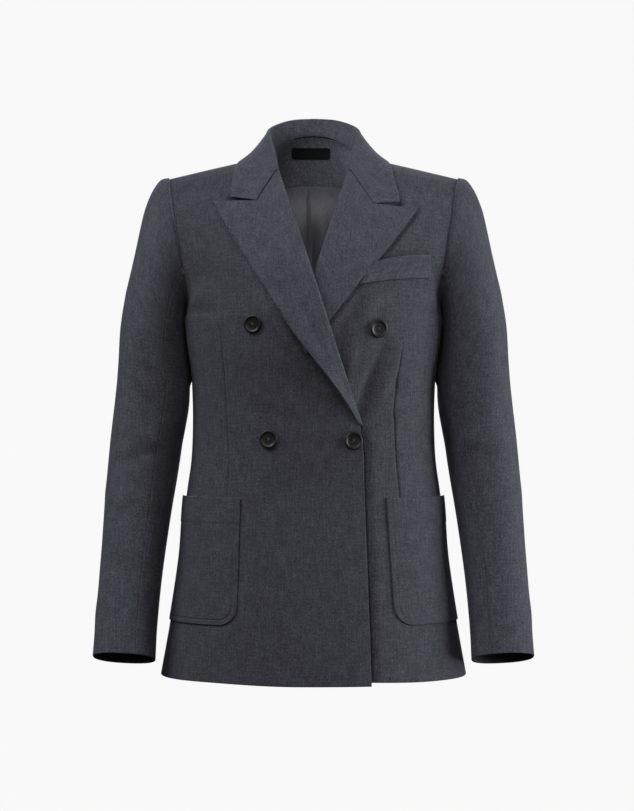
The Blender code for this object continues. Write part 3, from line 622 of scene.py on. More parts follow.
def shade_between(tree, shader, source, *stops):
    """Colour a shader from a pattern: each stop is a place and a hex colour."""
    ramp = add(tree, "ShaderNodeValToRGB", [(0, source)])
    made = ramp.color_ramp.elements
    made[0].position, made[1].position = stops[0][0], stops[-1][0]
    made[0].color, made[1].color = linear(stops[0][1]), linear(stops[-1][1])
    for place, colour in stops[1:-1]:
        made.new(place).color = linear(colour)
    tree.links.new(ramp.outputs[0], shader.inputs["Base Color"])


def mapped(tree, source, kind, stretch, turn=(0, 0, 0), scale=1.0, **settings):
    """A pattern's node, on coordinates that are turned and stretched first."""
    placed = add(tree, "ShaderNodeMapping", [(0, source)], Rotation=turn, Scale=stretch)
    return add(tree, kind, [(0, placed.outputs[0])], Scale=scale, **settings)


def emboss(tree, shader, height, strength, distance):
    """Let a pattern stand off a surface as fine relief."""
    relief = add(tree, "ShaderNodeBump", [("Height", height)],
                 Strength=strength, Distance=distance)
    tree.links.new(relief.outputs[0], shader.inputs["Normal"])

# %% [markdown]
# ## Melange suiting
# Melange wool is spun from fibres dyed in two greys, so no two threads match. Warp
# threads run up the cloth and show as faint upright streaks, with a thicker slub now
# and then. The true thread is about 0.5 mm wide, which is too fine to show, so the
# streaks are drawn two or three threads wide.

# %% The suiting
THREAD = 0.9            # width of a drawn warp streak, in millimetres
STREAK = 3.6            # its length
MELANGE = (             # width and length of a grain, fineness, and how much it counts
    (THREAD, STREAK, 2, 1.0), (STREAK, THREAD, 2, 0.9), (2.2, 24, 1, 0.5),
    (18, 2.2, 1, 0.4), (15, 22, 2, 0.3))
RIB, RIB_HEIGHT = 1.3, 0.45     # the twill's spacing in millimetres, and its relief
ONE_BAND = 0.318        # the wave's scale that gives one band to a unit of length


def suiting(name, dark, mean, light, tilt=0.0):
    """Worsted melange twill: a dull, slightly hairy face with a fine diagonal rib."""
    made, tree, shader = blank_finish(
        name, Roughness=0.86, Specular_IOR_Level=0.25, Sheen_Weight=0.12,
        Sheen_Roughness=0.45, Sheen_Tint=linear("#b9bccb"))
    flat = add(tree, "ShaderNodeUVMap", uv_map="cloth")
    turned = add(tree, "ShaderNodeMapping", [(0, flat.outputs[0])],
                 Rotation=(0, 0, math.radians(tilt)))
    melange = None
    for wide, tall, detail, weight in MELANGE:
        spun = mapped(tree, turned.outputs[0], "ShaderNodeTexNoise",
                      (1000 / wide, 1000 / tall, 1), noise_dimensions="2D",
                      Detail=detail, Roughness=0.55)
        part = add(tree, "ShaderNodeMath", [(0, spun.outputs[0])], operation="MULTIPLY_ADD")
        part.inputs[1].default_value, part.inputs[2].default_value = weight, -0.5 * weight
        melange = part if melange is None else add(
            tree, "ShaderNodeMath", [(0, melange.outputs[0]), (1, part.outputs[0])],
            operation="ADD")
    shade = add(tree, "ShaderNodeMath", [(0, melange.outputs[0])], operation="ADD")
    shade.inputs[1].default_value = 0.5
    shade_between(tree, shader, shade.outputs[0], (0.12, dark), (0.5, mean), (0.88, light))
    twill = mapped(tree, turned.outputs[0], "ShaderNodeTexWave",
                   (1000 / RIB, 1000 / RIB, 1), (0, 0, math.radians(45)), ONE_BAND,
                   wave_type="BANDS", bands_direction="X", Distortion=0.6, Detail=1.0)
    height = add(tree, "ShaderNodeMath", [(0, twill.outputs[1]), (2, shade.outputs[0])],
                 operation="MULTIPLY_ADD")
    height.inputs[1].default_value = RIB_HEIGHT
    emboss(tree, shader, height.outputs[0], 0.45, 0.0004)
    return made


WOOL = suiting("melange_wool", "#36373f", "#4a4a54", "#61616b")
WOOL_LAPEL = suiting("melange_wool_lapel", "#373840", "#4b4b55", "#62626c", tilt=18)
WOOL_FRONT_PAINTED_SHADE = {      # darker copies of the suiting for the fronts and pockets: painted shade, darkest on the over front
    RIGHT: suiting("melange_wool_over_front_painted_shade", "#303139", "#42424b", "#565660"),
    LEFT: suiting("melange_wool_under_front_painted_shade", "#33343c", "#46464f", "#5c5c65"),
}
# A paler copy of the same suiting, painted light: the facing is lightened where little lamp
# light reaches inside the neck.
WOOL_FACING_PAINTED_LIGHT = suiting("melange_wool_facing_painted_light", "#5f606a", "#777884", "#93949f")
print("suiting streaks", THREAD, "by", STREAK, "mm")

# %% [markdown]
# ## Fronts
# The front has a bust dart: a thin wedge of cloth sewn away below the chest, which
# draws the waist in. All that shows of it is a fine line that starts from nothing
# and runs down to the pocket. The grid's columns are bent to follow that line.

# %% Fronts
DART = {    # height and X of the dart's line, on the own side
    RIGHT: ((-470, 110), (-438, 109.6), (-394, 107), (-300, 112), (-214, 118.7)),
    LEFT: ((-470, 111), (-434, 110), (-392, 106.2), (-313, 103), (-232, 115.4)),
}
OVERLAP_SHARE, DART_SHARE, DART_NEAR = 0.46, 0.62, (0.45, 0.9, 1.7, 3.2)
DART_DEPTH, DART_WIDTH, DART_POINT = 1.8, 1.2, 30.0
DART_SOFT = (0.4, 9.0)      # the swell of cloth on both sides of it: height and width
PANEL_WIDTH = 262.0
# Spare width for the arm's reach stands as a soft fold beside the armhole.
DRAPE, DRAPE_AT, DRAPE_Z = 5.2, (0.82, 0.09), (-294, -236, -222, -160)


def front_columns(count, lines):
    """Shares across a front, closer at its edges and beside some lines."""
    extra = {line + sign * d / PANEL_WIDTH for line in lines for d in DART_NEAR
             for sign in (-1, 1)} | set(lines)
    room = DART_NEAR[-1] / PANEL_WIDTH
    return np.array(sorted({s for s in tight(count, PANEL_WIDTH)
                            if all(abs(s - line) > room for line in lines)} | extra))


def front_panel(side):
    """A front's points, normals and flat coordinates."""
    place = even_places(front_form, 0, FRONT_TOP, 2.9)[:, None]
    knots = (OVERLAP_SHARE, DART_SHARE) if side == LEFT else (DART_SHARE,)
    shares = front_columns(112, knots)[None, :]
    first = edge_across(place)
    dart = np.array(DART[side], float)
    height = front_form(0.6, place)[..., 2]
    dart_x = np.interp(height, dart[:, 0], dart[:, 1])
    middle = (across_at(FRONT, place, dart_x) - first) / (1 - first)
    lap = (across_at(FRONT, place, 1 - edge_x(height)) - first) / (1 - first)
    plain = middle * OVERLAP_SHARE / DART_SHARE
    lap = plain + (lap - plain) * (1 - smooth(BREAK[1] - 10, BREAK[1] + 90, height))
    ends = {0.0: 0 * middle, OVERLAP_SHARE: lap, DART_SHARE: middle, 1.0: 1 + 0 * middle}
    stops = (0.0, *knots, 1.0)
    u = 0 * middle + shares
    for low, high in zip(stops[:-1], stops[1:]):
        part = ends[low] + (shares - low) / (high - low) * (ends[high] - ends[low])
        u = np.where((shares >= low) & (shares <= high), part, u)
    across = first + (1 - first) * u
    grid, normals = front_form(across, place), normal_at(front_form, across, place)
    x, z = grid[..., 0].copy(), grid[..., 2].copy()
    sewn = (smooth(dart[0, 0] - 20, dart[0, 0], z)
            * (1 - smooth(dart[-1, 0] - DART_POINT, dart[-1, 0], z)))
    groove = DART_DEPTH * sewn * bump(np.abs(x - dart_x), DART_WIDTH)
    soft = DART_SOFT[0] * sewn * bump(np.abs(x - dart_x), DART_SOFT[1])
    drape = DRAPE * bump(across - DRAPE_AT[0], DRAPE_AT[1]) * rise_and_fall(DRAPE_Z, z)
    relief = front_relief(side, x, z) - groove + soft + drape - lapel_dip(side, x, z)
    grid += normals * relief[..., None]
    grid[..., 2] += hem_step(side, x, z)
    below = place[:, 0] <= UNDERARM_ROW
    grid[below, -1, 1] -= SEAM / 2
    grid[-1, :, 1] -= SEAM / 2
    return grid, normals, grain(grid, grid[:, 0, 0])


FRONT_GRIDS = {}
for side, name in SIDES.items():
    grid, normals, flat = front_panel(side)
    FRONT_GRIDS[side] = grid
    piece = sided("front", side, grid, normals, flat + (410 * side, 90),
                  sides=("free", "seam", "free", "seam"))
    # the fronts take the darker copies of the suiting, which are painted shade
    sew(piece, "front_" + name, WOOL_FRONT_PAINTED_SHADE[side])

# %% [markdown]
# ## Back
# Two halves meet in a seam down the middle. The back goes over the shoulder blades
# and ends at the neck and the shoulder seams, a little behind the top of the shoulder.

# %% Back halves
BACK_CREASES = (
    (0, -300, 96, -262, 14, -1.4),
    (8, -338, 112, -330, 12, 1.2),
    (20, -372, 120, -402, 13, -1.1),
    (92, -58, 132, -170, 18, 1.2),
    (60, -430, 78, -640, 20, 1.1),
    (118, -460, 128, -650, 17, -1.0),
    (40, -24, 96, -40, 10, 0.8),
)


def back_panel():
    """A back half's points, normals and flat coordinates."""
    place = even_places(back_form, 0, BACK_TOP, 3.7)[:, None]
    across = tight(72, 215)[None, :]
    grid = back_form(across, place)
    normals = normal_at(back_form, np.maximum(across, 0.01), place)
    x, z = grid[..., 0].copy(), grid[..., 2].copy()
    away = smooth(0, 14, x)
    grid += normals * (strokes(BACK_CREASES, x, z) * away)[..., None]
    grid[:, 0, 0] = SEAM / 2
    below = place[:, 0] <= UNDERARM_ROW
    grid[below, -1, 1] += SEAM / 2
    grid[-1, across[0] > NECK_SHARE, 1] += SEAM / 2
    return grid, normals, grain(grid, grid[:, 0, 0])


BACK_GRID, back_normals, back_flat = back_panel()
for side, name in SIDES.items():
    piece = sided("back", side, BACK_GRID, back_normals, back_flat + (700 * side, 830),
                  sides=("free", "seam", "seam", "seam"))
    sew(piece, "back_" + name, WOOL)

# %% [markdown]
# ## Sleeves
# A tailored sleeve has two pieces: a wide top sleeve and a narrow under sleeve. It is
# cut with a bend, so it hangs forward as an arm does. Its cap is a little fuller than
# the armhole, and the fullness is steamed into a soft roll, the sleeve head.

# %% The sleeve form
SLEEVE = (      # height, x, y of each ring, and its half widths to the side and front
    (-236, 212.0, 8, 42.5, 66),
    (-306, 212.5, 9, 48.0, 61),
    (-370, 221.5, 5, 46.0, 57),
    (-433, 228.7, -3, 44.0, 52),
    (-528, 238.0, -22, 40.4, 46),
    (-600, 243.5, -39, 39.4, 42),
    (-648, 246.0, -52, 40.0, 39),
)
CAP_SHARE, CAP_RISE, CAP_SPREAD = 0.26, 0.16, -0.25
CAP_PUSH, CAP_BEND = (12.0, 0.42), (0.7, 0.3)
SLEEVE_SQUARE = 0.85    # below 1, the ring is flatter in front than an ellipse
GIRTH = 300.0           # a sleeve's usual way round, for placing creases
BODY_INSIDE, NECK_INSIDE = (0, 10, -250), (0, 10, -120)

front_loop = front_form(1.0, np.linspace(FRONT_TOP, UNDERARM_ROW, 90))
back_loop = back_form(np.ones(70), np.linspace(BACK_TOP, UNDERARM_ROW, 70))


def pitch_turn(form, top, sign):
    """The turn round the armhole at the pitch, where the sleeve's seams start."""
    whole = travelled(form(np.ones(80), np.linspace(top, UNDERARM_ROW, 80)))[-1]
    part = travelled(form(np.ones(80), np.linspace(top, PITCH_ROW, 80)))[-1]
    return sign * 0.5 * part / whole


def sleeve_ring(place, turn):
    """Points of the sleeve below the cap: turn 0 is its outer side, 0.25 its front."""
    height, x, y, side, depth = (through([row[k] for row in SLEEVE], place) for k in range(5))
    ends = [stack(*(through([row[k] for row in SLEEVE], np.clip(place + d, 0, len(SLEEVE) - 1))
                    for k in (1, 2, 0))) for d in (-0.05, 0.05)]
    down = unit(ends[1] - ends[0])
    outward = unit(np.array((1.0, 0, 0)) - down * down[..., :1])
    back = np.cross(outward, down)
    back = back * np.sign(back[..., 1:2])
    c, s = np.cos(2 * np.pi * turn), np.sin(2 * np.pi * turn)
    c, s = (np.sign(v) * np.abs(v) ** SLEEVE_SQUARE for v in (c, s))
    return (stack(x, y, height) + outward * (side * c)[..., None]
            - back * (depth * s)[..., None])


def sleeve_points(turn, share):
    """Points of the whole sleeve: share 0 is the armhole, 1 the cuff."""
    turn, share = np.broadcast_arrays(turn % 1.0, share)
    spot = np.where((turn <= 0.5)[..., None], along(front_loop, np.clip(turn * 2, 0, 1)),
                    along(back_loop, np.clip((1 - turn) * 2, 0, 1)))
    below = (share - CAP_SHARE) / (1 - CAP_SHARE) * (len(SLEEVE) - 1)
    arm = sleeve_ring(np.maximum(below, 0), turn)
    end = sleeve_ring(np.zeros_like(turn), turn)
    run = (sleeve_ring(np.full_like(turn, 0.2), turn) - end) * 5
    level = (1 + np.cos(2 * np.pi * turn)) / 2
    reach = np.linalg.norm(end - spot, axis=-1)
    leave = stack(1.0, CAP_SPREAD * np.sin(2 * np.pi * turn), CAP_RISE * level)
    start = spot + unit(leave) * (SEAM + CLOTH / 2)
    push = (CAP_PUSH[0] + CAP_PUSH[1] * reach * level)[..., None]
    bend = unit(run) * (reach * (CAP_BEND[0] + CAP_BEND[1] * level))[..., None]
    cap = hermite(start, end, leave * push, bend, np.minimum(share / CAP_SHARE, 1)[..., None])
    return np.where((share >= CAP_SHARE)[..., None], arm, cap)


def skin_tree(grids, step=2):
    """A search tree over grids, for keeping other pieces clear of them."""
    corners, faces = [], []
    for grid in grids:
        thin = grid[sorted({*range(0, len(grid), step), len(grid) - 1})]
        thin = thin[:, sorted({*range(0, thin.shape[1], step), thin.shape[1] - 1})]
        first, columns = len(corners), thin.shape[1]
        corners += [Vector(p) for p in thin.reshape(-1, 3)]
        index = first + np.arange(thin.shape[0] * columns).reshape(-1, columns)
        faces += grid_faces(index).tolist()
    return BVHTree.FromPolygons(corners, faces)


def keep_clear(grid, tree, gap, inside, rows=None):
    """Move points that lie too near the skin, or inside it, out to the gap."""
    inside = Vector(inside)
    for i in rows if rows is not None else range(len(grid)):
        for j in range(grid.shape[1]):
            point = Vector(grid[i, j])
            spot, normal, _, _ = tree.find_nearest(point)
            if normal.dot(spot - inside) < 0:
                normal = -normal
            out = (point - spot).dot(normal)
            if (point - spot).length <= abs(out) + 3.0 and out < gap:
                grid[i, j] += np.array(normal) * (gap - out)
    return grid


# %% Sleeves
SLEEVE_CREASES = (      # turn x GIRTH and height of both ends, width, height
    (0, -60, 4, -176, 28, -3.4),
    (58, -300, 112, -352, 12, -2.4),
    (66, -352, 124, -384, 11, 1.8),
    (40, -396, 116, -372, 10, -1.6),
    (30, -430, 92, -446, 12, 1.2),
    (-6, -140, 22, -262, 17, 1.6),
    (52, -168, 74, -268, 14, -1.5),
    (-60, -330, -14, -392, 14, -1.3),
    (-50, -410, 10, -440, 13, 1.1),
    (20, -500, 78, -556, 15, -1.3),
    (-30, -560, 26, -610, 14, 1.1),
    (96, -470, 128, -560, 13, 1.4),
    (144, -300, 128, -400, 10, -1.6),
    (150, -360, 176, -470, 11, 1.3),
)
SLEEVE_LENGTH, TOP_WIDTH, UNDER_WIDTH = 640.0, 195.0, 100.0
# Under the arm the sleeve tucks in behind the body's side: how far, and at what heights.
TUCK_SIZE, TUCK_Z, TUCK_BACK = 12.0, (-298.0, -268.0, -188.0, -158.0), (0.0, 24.0)
HEAD_ROLL, HEAD_AT = 1.3, (0.02, 0.018)     # the sleeve head's height, place and width
ALLOWANCE = ((0.5, 1.4), (2.2, 2.2), (6.0, 2.6))    # the turned-in seam: back and down


def sleeve_half(first, last, columns, width, body):
    """One piece of the sleeve, from one seam's turn to the other's."""
    turns = (first + (last - first) * tight(columns, width))[None, :]
    share = 1 - tight(190, SLEEVE_LENGTH)[:, None]
    grid = sleeve_points(turns, share)
    normals = -grid_normals(grid)
    z = grid[..., 2]
    fade = smooth(0, 0.12, share) * smooth(0.0, 0.05, 1 - share)
    crease = strokes(SLEEVE_CREASES, turns * GIRTH + 0 * z, z)
    outer = (1 + np.cos(2 * np.pi * turns)) / 2
    head = HEAD_ROLL * bump(share - HEAD_AT[0], HEAD_AT[1]) * smooth(0.12, 0.3, outer)
    grid = grid + normals * (crease * fade + head)[..., None]
    behind = smooth(*TUCK_BACK, grid[..., 1]) * (1 - outer)
    grid[..., 0] -= TUCK_SIZE * behind * rise_and_fall(TUCK_Z, z)
    near = [i for i in range(len(grid)) if share[i, 0] < 0.45]
    grid = keep_clear(grid, body, CLOTH + SEAM + 0.4, BODY_INSIDE, near)
    top, out = grid[-1], -grid_normals(grid)[-1]
    leave = unit(stack(1.0, CAP_SPREAD * np.sin(2 * np.pi * turns[0]), CAP_RISE * outer[0]))
    allowance = [top - leave * back - out * down for back, down in ALLOWANCE]
    grid = np.concatenate((grid, np.stack(allowance)))
    return grid, -grid_normals(grid)


front_pitch = pitch_turn(front_form, FRONT_TOP, 1)
back_pitch = pitch_turn(back_form, BACK_TOP, -1)
for side, name in SIDES.items():
    body = skin_tree((FRONT_GRIDS[side], BACK_GRID))
    halves = (("top", back_pitch, front_pitch, 74, TOP_WIDTH),
              ("under", front_pitch, 1 + back_pitch, 40, UNDER_WIDTH))
    for half, first, last, columns, width in halves:
        grid, normals = sleeve_half(first, last, columns, width, body)
        piece = sided(half + "_sleeve", side, grid, normals,
                      grain(grid) + (90 * side, 1700 + width * 3),
                      sides=("free", "free", "seam", "seam"))
        sew(piece, f"{half}_sleeve_{name}", WOOL)

# %% [markdown]
# ## Lapels
# A lapel is the front's own facing, folded back along the roll line. Here it starts
# inside the front, turns round its edge with a small radius, and lies over the chest
# out to its own edge. The peak points at the shoulder, and the notch divides it from
# the collar.

# %% Lapels
LAPEL_LEG, CORNER_SHARE, LAPEL_BULGE = 9.0, 0.4, 1.6
FOLD_ANGLES = np.radians(np.linspace(-90, 90, 11))
FALL = sorted(set(np.linspace(0, 1, 41)[1:]) | {0.991, 0.975, CORNER_SHARE - 0.02,
                                                CORNER_SHARE + 0.02})
LAPEL_CREASES = {
    RIGHT: ((104, -74, 90, -112, 12, 1.1), (76, -92, 70, -150, 11, -1.2),
            (50, -96, 34, -150, 8, 1.1), (62, -158, 30, -214, 11, 1.4),
            (16, -190, -16, -262, 7, -0.9), (-30, -322, 6, -262, 8, -0.8)),
    LEFT: ((60, -96, 88, -104, 10, -1.0), (24, -216, 66, -140, 9, 1.2),
           (40, -120, 36, -176, 8, -0.9), (96, -84, 78, -124, 11, 0.9)),
}
BEAD_IN, BEAD_WIDTH, BEAD = 4.6, 2.0, 0.45      # the pressed hollow behind the roll
ROLL_RISE = {RIGHT: 9.0, LEFT: 3.0}             # how far its low edge stands off


def corner_line(points, t):
    """A line of three points, whose corner lies at the corner's share."""
    a, b, c = (np.asarray(p, float) for p in points)
    t = np.asarray(t, float)[..., None]
    return np.where(t <= CORNER_SHARE, a + (b - a) * np.minimum(t / CORNER_SHARE, 1),
                    b + (c - b) * (t - CORNER_SHARE) / (1 - CORNER_SHARE))


def lapel_flat(side, rolls, u, v):
    """X and height of a lapel's points: u runs out from the roll line, v upwards."""
    corners = LAPEL_CORNERS[side]
    notch, peak = np.array(corners["notch"], float), np.array(corners["peak"], float)
    outline = np.array(LAPEL_EDGE[side] + (tuple(peak),), float)
    u, v = np.broadcast_arrays(u, v)
    u1, v1 = u[..., None], v[..., None]
    low = rolls[0] + (outline[0] - rolls[0]) * u1
    high = corner_line((rolls[-1], notch, peak), u)
    start, end = along(rolls, v), curve(outline, v)
    ruled = rolls[0] * (1 - u1) * (1 - v1) + outline[0] * u1 * (1 - v1)
    ruled = ruled + rolls[-1] * (1 - u1) * v1 + peak * u1 * v1
    return low * (1 - v1) + high * v1 + start * (1 - u1) + end * u1 - ruled


def lapel_grid(side):
    """A lapel: inside leg, fold round the front's edge, then out to its own edge."""
    place = even_places(front_form, BREAK_ROW, GORGE_ROW, 2.0, 0.1)
    across = edge_across(place)
    points = front_form(across, place)
    rolls = points[:, [0, 2]]
    normal = normal_at(front_form, across, place)
    base = on_front(side, rolls[:, 0], rolls[:, 1])
    ahead = on_front(side, rolls[:, 0] - 2, rolls[:, 1]) - base
    ahead = unit(ahead - normal * (ahead * normal).sum(-1, keepdims=True))
    lines = [on_front(side, rolls[:, 0] + LAPEL_LEG * k, rolls[:, 1], -TURN - 0.5)
             for k in (1.0, 0.6, 0.25)]
    lines += [base + TURN * (ahead * math.cos(a) + normal * math.sin(a)) for a in FOLD_ANGLES]
    v = (rolls[:, 1] - rolls[0, 1]) / (rolls[-1, 1] - rolls[0, 1])
    u, v = np.meshgrid(FALL, v)
    spot = lapel_flat(side, rolls, u, v)
    lift = LAY + LAPEL_BULGE * np.sin(np.pi * np.minimum(u * 1.1, 1)) * v
    x, z = spot[..., 0], spot[..., 1]
    lift = lift + strokes(LAPEL_CREASES[side], x, z) * np.sin(np.pi * u)
    way = np.hypot(x - rolls[:, :1], z - rolls[:, 1:])
    lift = lift - BEAD * bump(way - BEAD_IN, BEAD_WIDTH) * smooth(0, 0.15, v)
    lift = lift + ROLL_RISE[side] * u * smooth(0, 0.14, v) * (1 - smooth(0.3, 0.6, v))
    outer = on_front(side, x, z, lift)
    return np.concatenate((np.stack(lines, axis=1), outer), axis=1)


LAPEL_THICK = 1.9
LAPEL_GRAIN = {RIGHT: -26, LEFT: -30}
LAPELS = {}
for side, name in SIDES.items():
    LAPELS[side] = lapel_grid(side)
    flat = grain(LAPELS[side], 0, 14, LAPEL_GRAIN[side]) + (2600 + 300 * side, 70)
    piece = sided("lapel", side, LAPELS[side], -grid_normals(LAPELS[side]), flat,
                  thickness=LAPEL_THICK, sides=("free", "seam", "seam", "free"))
    sew(piece, "lapel_" + name, WOOL_LAPEL)

# %% [markdown]
# ## Collar
# The collar stands up behind the neck and folds over. Under the fold is the stand,
# which is sewn to the neck, and outside it is the fall. Its first line is the gorge
# seam, where it meets the lapel.

# %% Collar
COLLAR = (      # neck seam, roll line and outer edge, from the gorge to the middle back
    ((47, -44, -14), (46.0, -52, -9), (107, -64, -51)),
    ((50, -20, -4), (49.5, -32, 11), (102, -38, -27)),
    ((53, -4, 12), (56.0, -8, 32), (95, 0, 1)),
    ((54, 16, 19), (57.5, 18, 46), (85, 48, 4)),
    ((42, 43, 31), (46.0, 49, 57), (62, 82, 8)),
    ((22, 60, 41), (26.0, 65, 64), (33, 93, 11)),
    ((0, 65, 44), (0.0, 70, 66), (0, 97, 12)),
)
COLLAR_START, COLLAR_FOLD = 0.35, (1.3, 2.3)
STAND = (0.0, 0.35, 0.7)        # lines of the stand, as shares up to its fold
TUCK_IN, TUCK_DOWN = 3.4, 1.8   # how far the stand's seam laps over the facing


def gorge_row(side):
    """The collar's first line: the lapel's last line, a seam's gap higher."""
    corners = LAPEL_CORNERS[side]
    below, last = LAPELS[side][-2], LAPELS[side][-1]
    away = SEAM + CLOTH / 2
    line = last + unit(last - below) * away
    start = front_form(edge_across(np.array([GORGE_ROW])), GORGE_ROW)[0, [0, 2]]
    off = np.array((0.6, 1.0)) * away
    spot = corner_line((start + off, np.array(corners["notch"]) + off, corners["tip"]), FALL)
    line[-len(FALL):] = on_front(side, spot[:, 0], spot[:, 1], LAY)
    return line


def collar_half(side, body):
    """Half a collar on the wearer's left: stand, fold and fall."""
    tip = LAPEL_CORNERS[side]["tip"]
    drop = tip[1] - LAPEL_CORNERS[RIGHT]["tip"][1]
    table = np.array(COLLAR, float)
    table[0, 2, [0, 2]] = tip
    table[1, 2, 2] += 0.7 * drop
    shares = tight(78, 190, (0.8, 2.0))[:-3]
    shares = np.append(shares, 1.0)
    neck, roll, edge = (curve(table[:, k], shares) for k in range(3))
    edge = keep_clear(edge[None].copy(), body, LAY, NECK_INSIDE)[0]
    up = unit(roll - neck)
    out = edge - roll
    out = unit(out - up * (out * up).sum(-1, keepdims=True))
    size = COLLAR_FOLD[0] + (COLLAR_FOLD[1] - COLLAR_FOLD[0]) * smooth(0, 0.3, shares)[:, None]
    fold = [roll + out * size * (1 + math.cos(a)) + up * size * (math.sin(a) - 1)
            for a in math.pi / 2 - FOLD_ANGLES]
    behind = smooth(0.35, 0.6, shares)[:, None]
    inward = -unit(neck * (1, 1, 0))
    seam = neck + (inward * TUCK_IN - np.array((0, 0, TUCK_DOWN))) * behind
    lines = [seam + (fold[0] - seam) * k for k in STAND] + fold
    lines += [fold[-1] + (edge - fold[-1]) * w for w in FALL]
    grid = np.stack(lines, axis=1)
    ease = np.maximum(1 - shares / COLLAR_START, 0)[:, None, None] ** 2
    grid = grid + (gorge_row(side) - grid[0]) * ease
    outer = np.s_[len(STAND) + len(FOLD_ANGLES):]
    fall = grid[:, outer].copy()
    fall[1:] = keep_clear(fall[1:], body, LAY, NECK_INSIDE)
    grid[:, outer] = fall
    return grid


halves = {}
for side in SIDES:
    body = skin_tree((FRONT_GRIDS[side], BACK_GRID), 3)
    halves[side] = on_side(collar_half(side, body), side)
collar = np.concatenate((halves[RIGHT], halves[LEFT][::-1][1:]))
bulge = 0.8 * np.sin(np.linspace(0, np.pi, collar.shape[1])) ** 2
normals = -grid_normals(collar)
outward = np.sign((normals[len(collar) // 2, -12] * (0, 1, 0)).sum())
collar_flat = grain(collar)
piece = shell("cloth_collar", collar + normals * outward * bulge[None, :, None], normals,
              collar_flat[..., ::-1] + (3300, 0), LAPEL_THICK, ("seam", "seam", "seam", "free"))
sew(piece, "collar", WOOL_LAPEL)

# %% [markdown]
# ## Pockets
# A patch pocket is a hemmed square of cloth sewn on top of the front. Its lower inner
# corner is round. The line of stitches runs beside its edge, and a second line holds
# the hem of its mouth. The mouth stands off a little at the side, so a hand can go in.

# %% Patch pockets
POCKET_TOP, POCKET_BOTTOM, POCKET_CORNER = -439.0, -601.0, 24.0
POCKET_INNER = {RIGHT: (92.0, 97.0), LEFT: (93.0, 104.0)}     # X at the top and bottom
POCKET_OUTER, POCKET_GAPE = 0.97, 2.4
STITCH_IN, BAND_DOWN, STITCH_WIDTH = 6.2, 33.0, 1.0
STITCH_DEPTH = {RIGHT: 0.8, LEFT: 0.4}
POCKET_WIDTH, POCKET_LINES = 150.0, 0.9
POCKET_CREASES = {RIGHT: ((118, -452, 150, -580, 16, 1.2), (108, -560, 136, -590, 9, -0.8)),
                  LEFT: ((120, -470, 148, -590, 15, 1.1), (112, -452, 140, -462, 8, -0.8))}


def closer_at(count, length, spans):
    """Even shares of a length, with closer lines in some spans of it, in millimetres."""
    shares = list(tight(count, length))
    for low, high in spans:
        shares += list(np.arange(low, high, POCKET_LINES) / length)
    kept = [0.0]
    for share in sorted(shares):
        if share - kept[-1] > 0.3 / length:
            kept.append(share)
    kept[-1] = 1.0
    return np.array(kept)


def pocket_grid(side):
    """A patch pocket's points and how deep its stitch lines pull in."""
    tall, (inner_top, inner_low) = POCKET_TOP - POCKET_BOTTOM, POCKET_INNER[side]
    v = closer_at(92, tall, ((1, POCKET_CORNER), (tall - BAND_DOWN - 3, tall - BAND_DOWN + 3)))
    u = closer_at(84, POCKET_WIDTH, ((1, POCKET_CORNER),))
    u, v = u[None, :], v[:, None]
    height = POCKET_BOTTOM + (POCKET_TOP - POCKET_BOTTOM) * v
    rise = np.minimum(height - POCKET_BOTTOM, POCKET_CORNER)
    round_off = POCKET_CORNER - np.sqrt(POCKET_CORNER ** 2 - (POCKET_CORNER - rise) ** 2)
    edge = inner_low + (inner_top - inner_low) * v
    inner = edge + round_off
    first, place = front_place(inner, height)
    across = first + (POCKET_OUTER - first) * u
    base = front_form(across, place)
    x, z = base[..., 0], base[..., 2]
    lift = front_relief(side, x, z) + strokes(POCKET_CREASES[side], x, z)
    lift = lift + LAY - 0.4 + POCKET_GAPE * smooth(0.15, 0.9, u) * smooth(0.45, 1.0, v)
    straight = x - edge
    floor = height - POCKET_BOTTOM
    cx, cz = POCKET_CORNER - straight, POCKET_CORNER - floor
    in_corner = (cx > 0) & (cz > 0)
    margin = np.where(in_corner, POCKET_CORNER - np.hypot(cx, cz), np.minimum(straight, floor))
    band = POCKET_TOP - BAND_DOWN - height
    below = smooth(-1.0, 1.0, band + BAND_DOWN - 2)
    sewn = STITCH_DEPTH[side] * (1 - smooth(0.92, 0.98, u))
    lift = lift - sewn * bump(margin - STITCH_IN, STITCH_WIDTH) * below
    lift = lift - sewn * 0.8 * bump(band, STITCH_WIDTH)
    lift = lift + 0.5 * smooth(-2, 0, -band) * np.ones_like(lift)
    return base + normal_at(front_form, across, place) * lift[..., None], grain(base)


for side, name in SIDES.items():
    grid, flat = pocket_grid(side)
    piece = sided("pocket", side, grid, grid_normals(grid), flat + (3900 + 250 * side, 40))
    # the pockets take the fronts' darker copies of the suiting, which are painted shade
    sew(piece, "pocket_" + name, WOOL_FRONT_PAINTED_SHADE[side])

# %% Breast welt
WELT_SLANT, WELT_END = 19.5, 1.5
WELT_PUFF, WELT_MOUTH, WELT_SEAM = 0.5, 1.6, 0.9    # how far it stands off, by part


def welt_grid():
    """The welt: a narrow band sewn over the cut of the breast pocket."""
    v, u = tight(22, 28)[:, None], tight(60, 86)[None, :]
    rows = WELT[1:]
    x, low, high = (through([row[k] for row in rows], u * (len(rows) - 1)) for k in range(3))
    x = x + WELT_SLANT * v * (1 - u) ** 2 + WELT_END * (1 - u)
    z = low + (high - low) * v
    full = (WELT_PUFF * np.sin(np.pi * v) * np.sin(np.pi * u) ** 0.4
            + WELT_MOUTH * smooth(0.6, 1.0, v) + WELT_SEAM * (1 - smooth(0, 0.4, v)))
    return on_front(LEFT, x, z, LAY + full)


grid = welt_grid()
piece = shell("cloth_welt", grid, grid_normals(grid), grain(grid) + (4600, 0))
sew(piece, "welt_pocket", WOOL)

# %% [markdown]
# ## Inside the neck
# Below the collar's stand is a facing of the suiting, and under it hangs the lining,
# a light bluish-grey satin. The lining has a pleat down the middle, so the back can
# stretch when the arms reach forward.

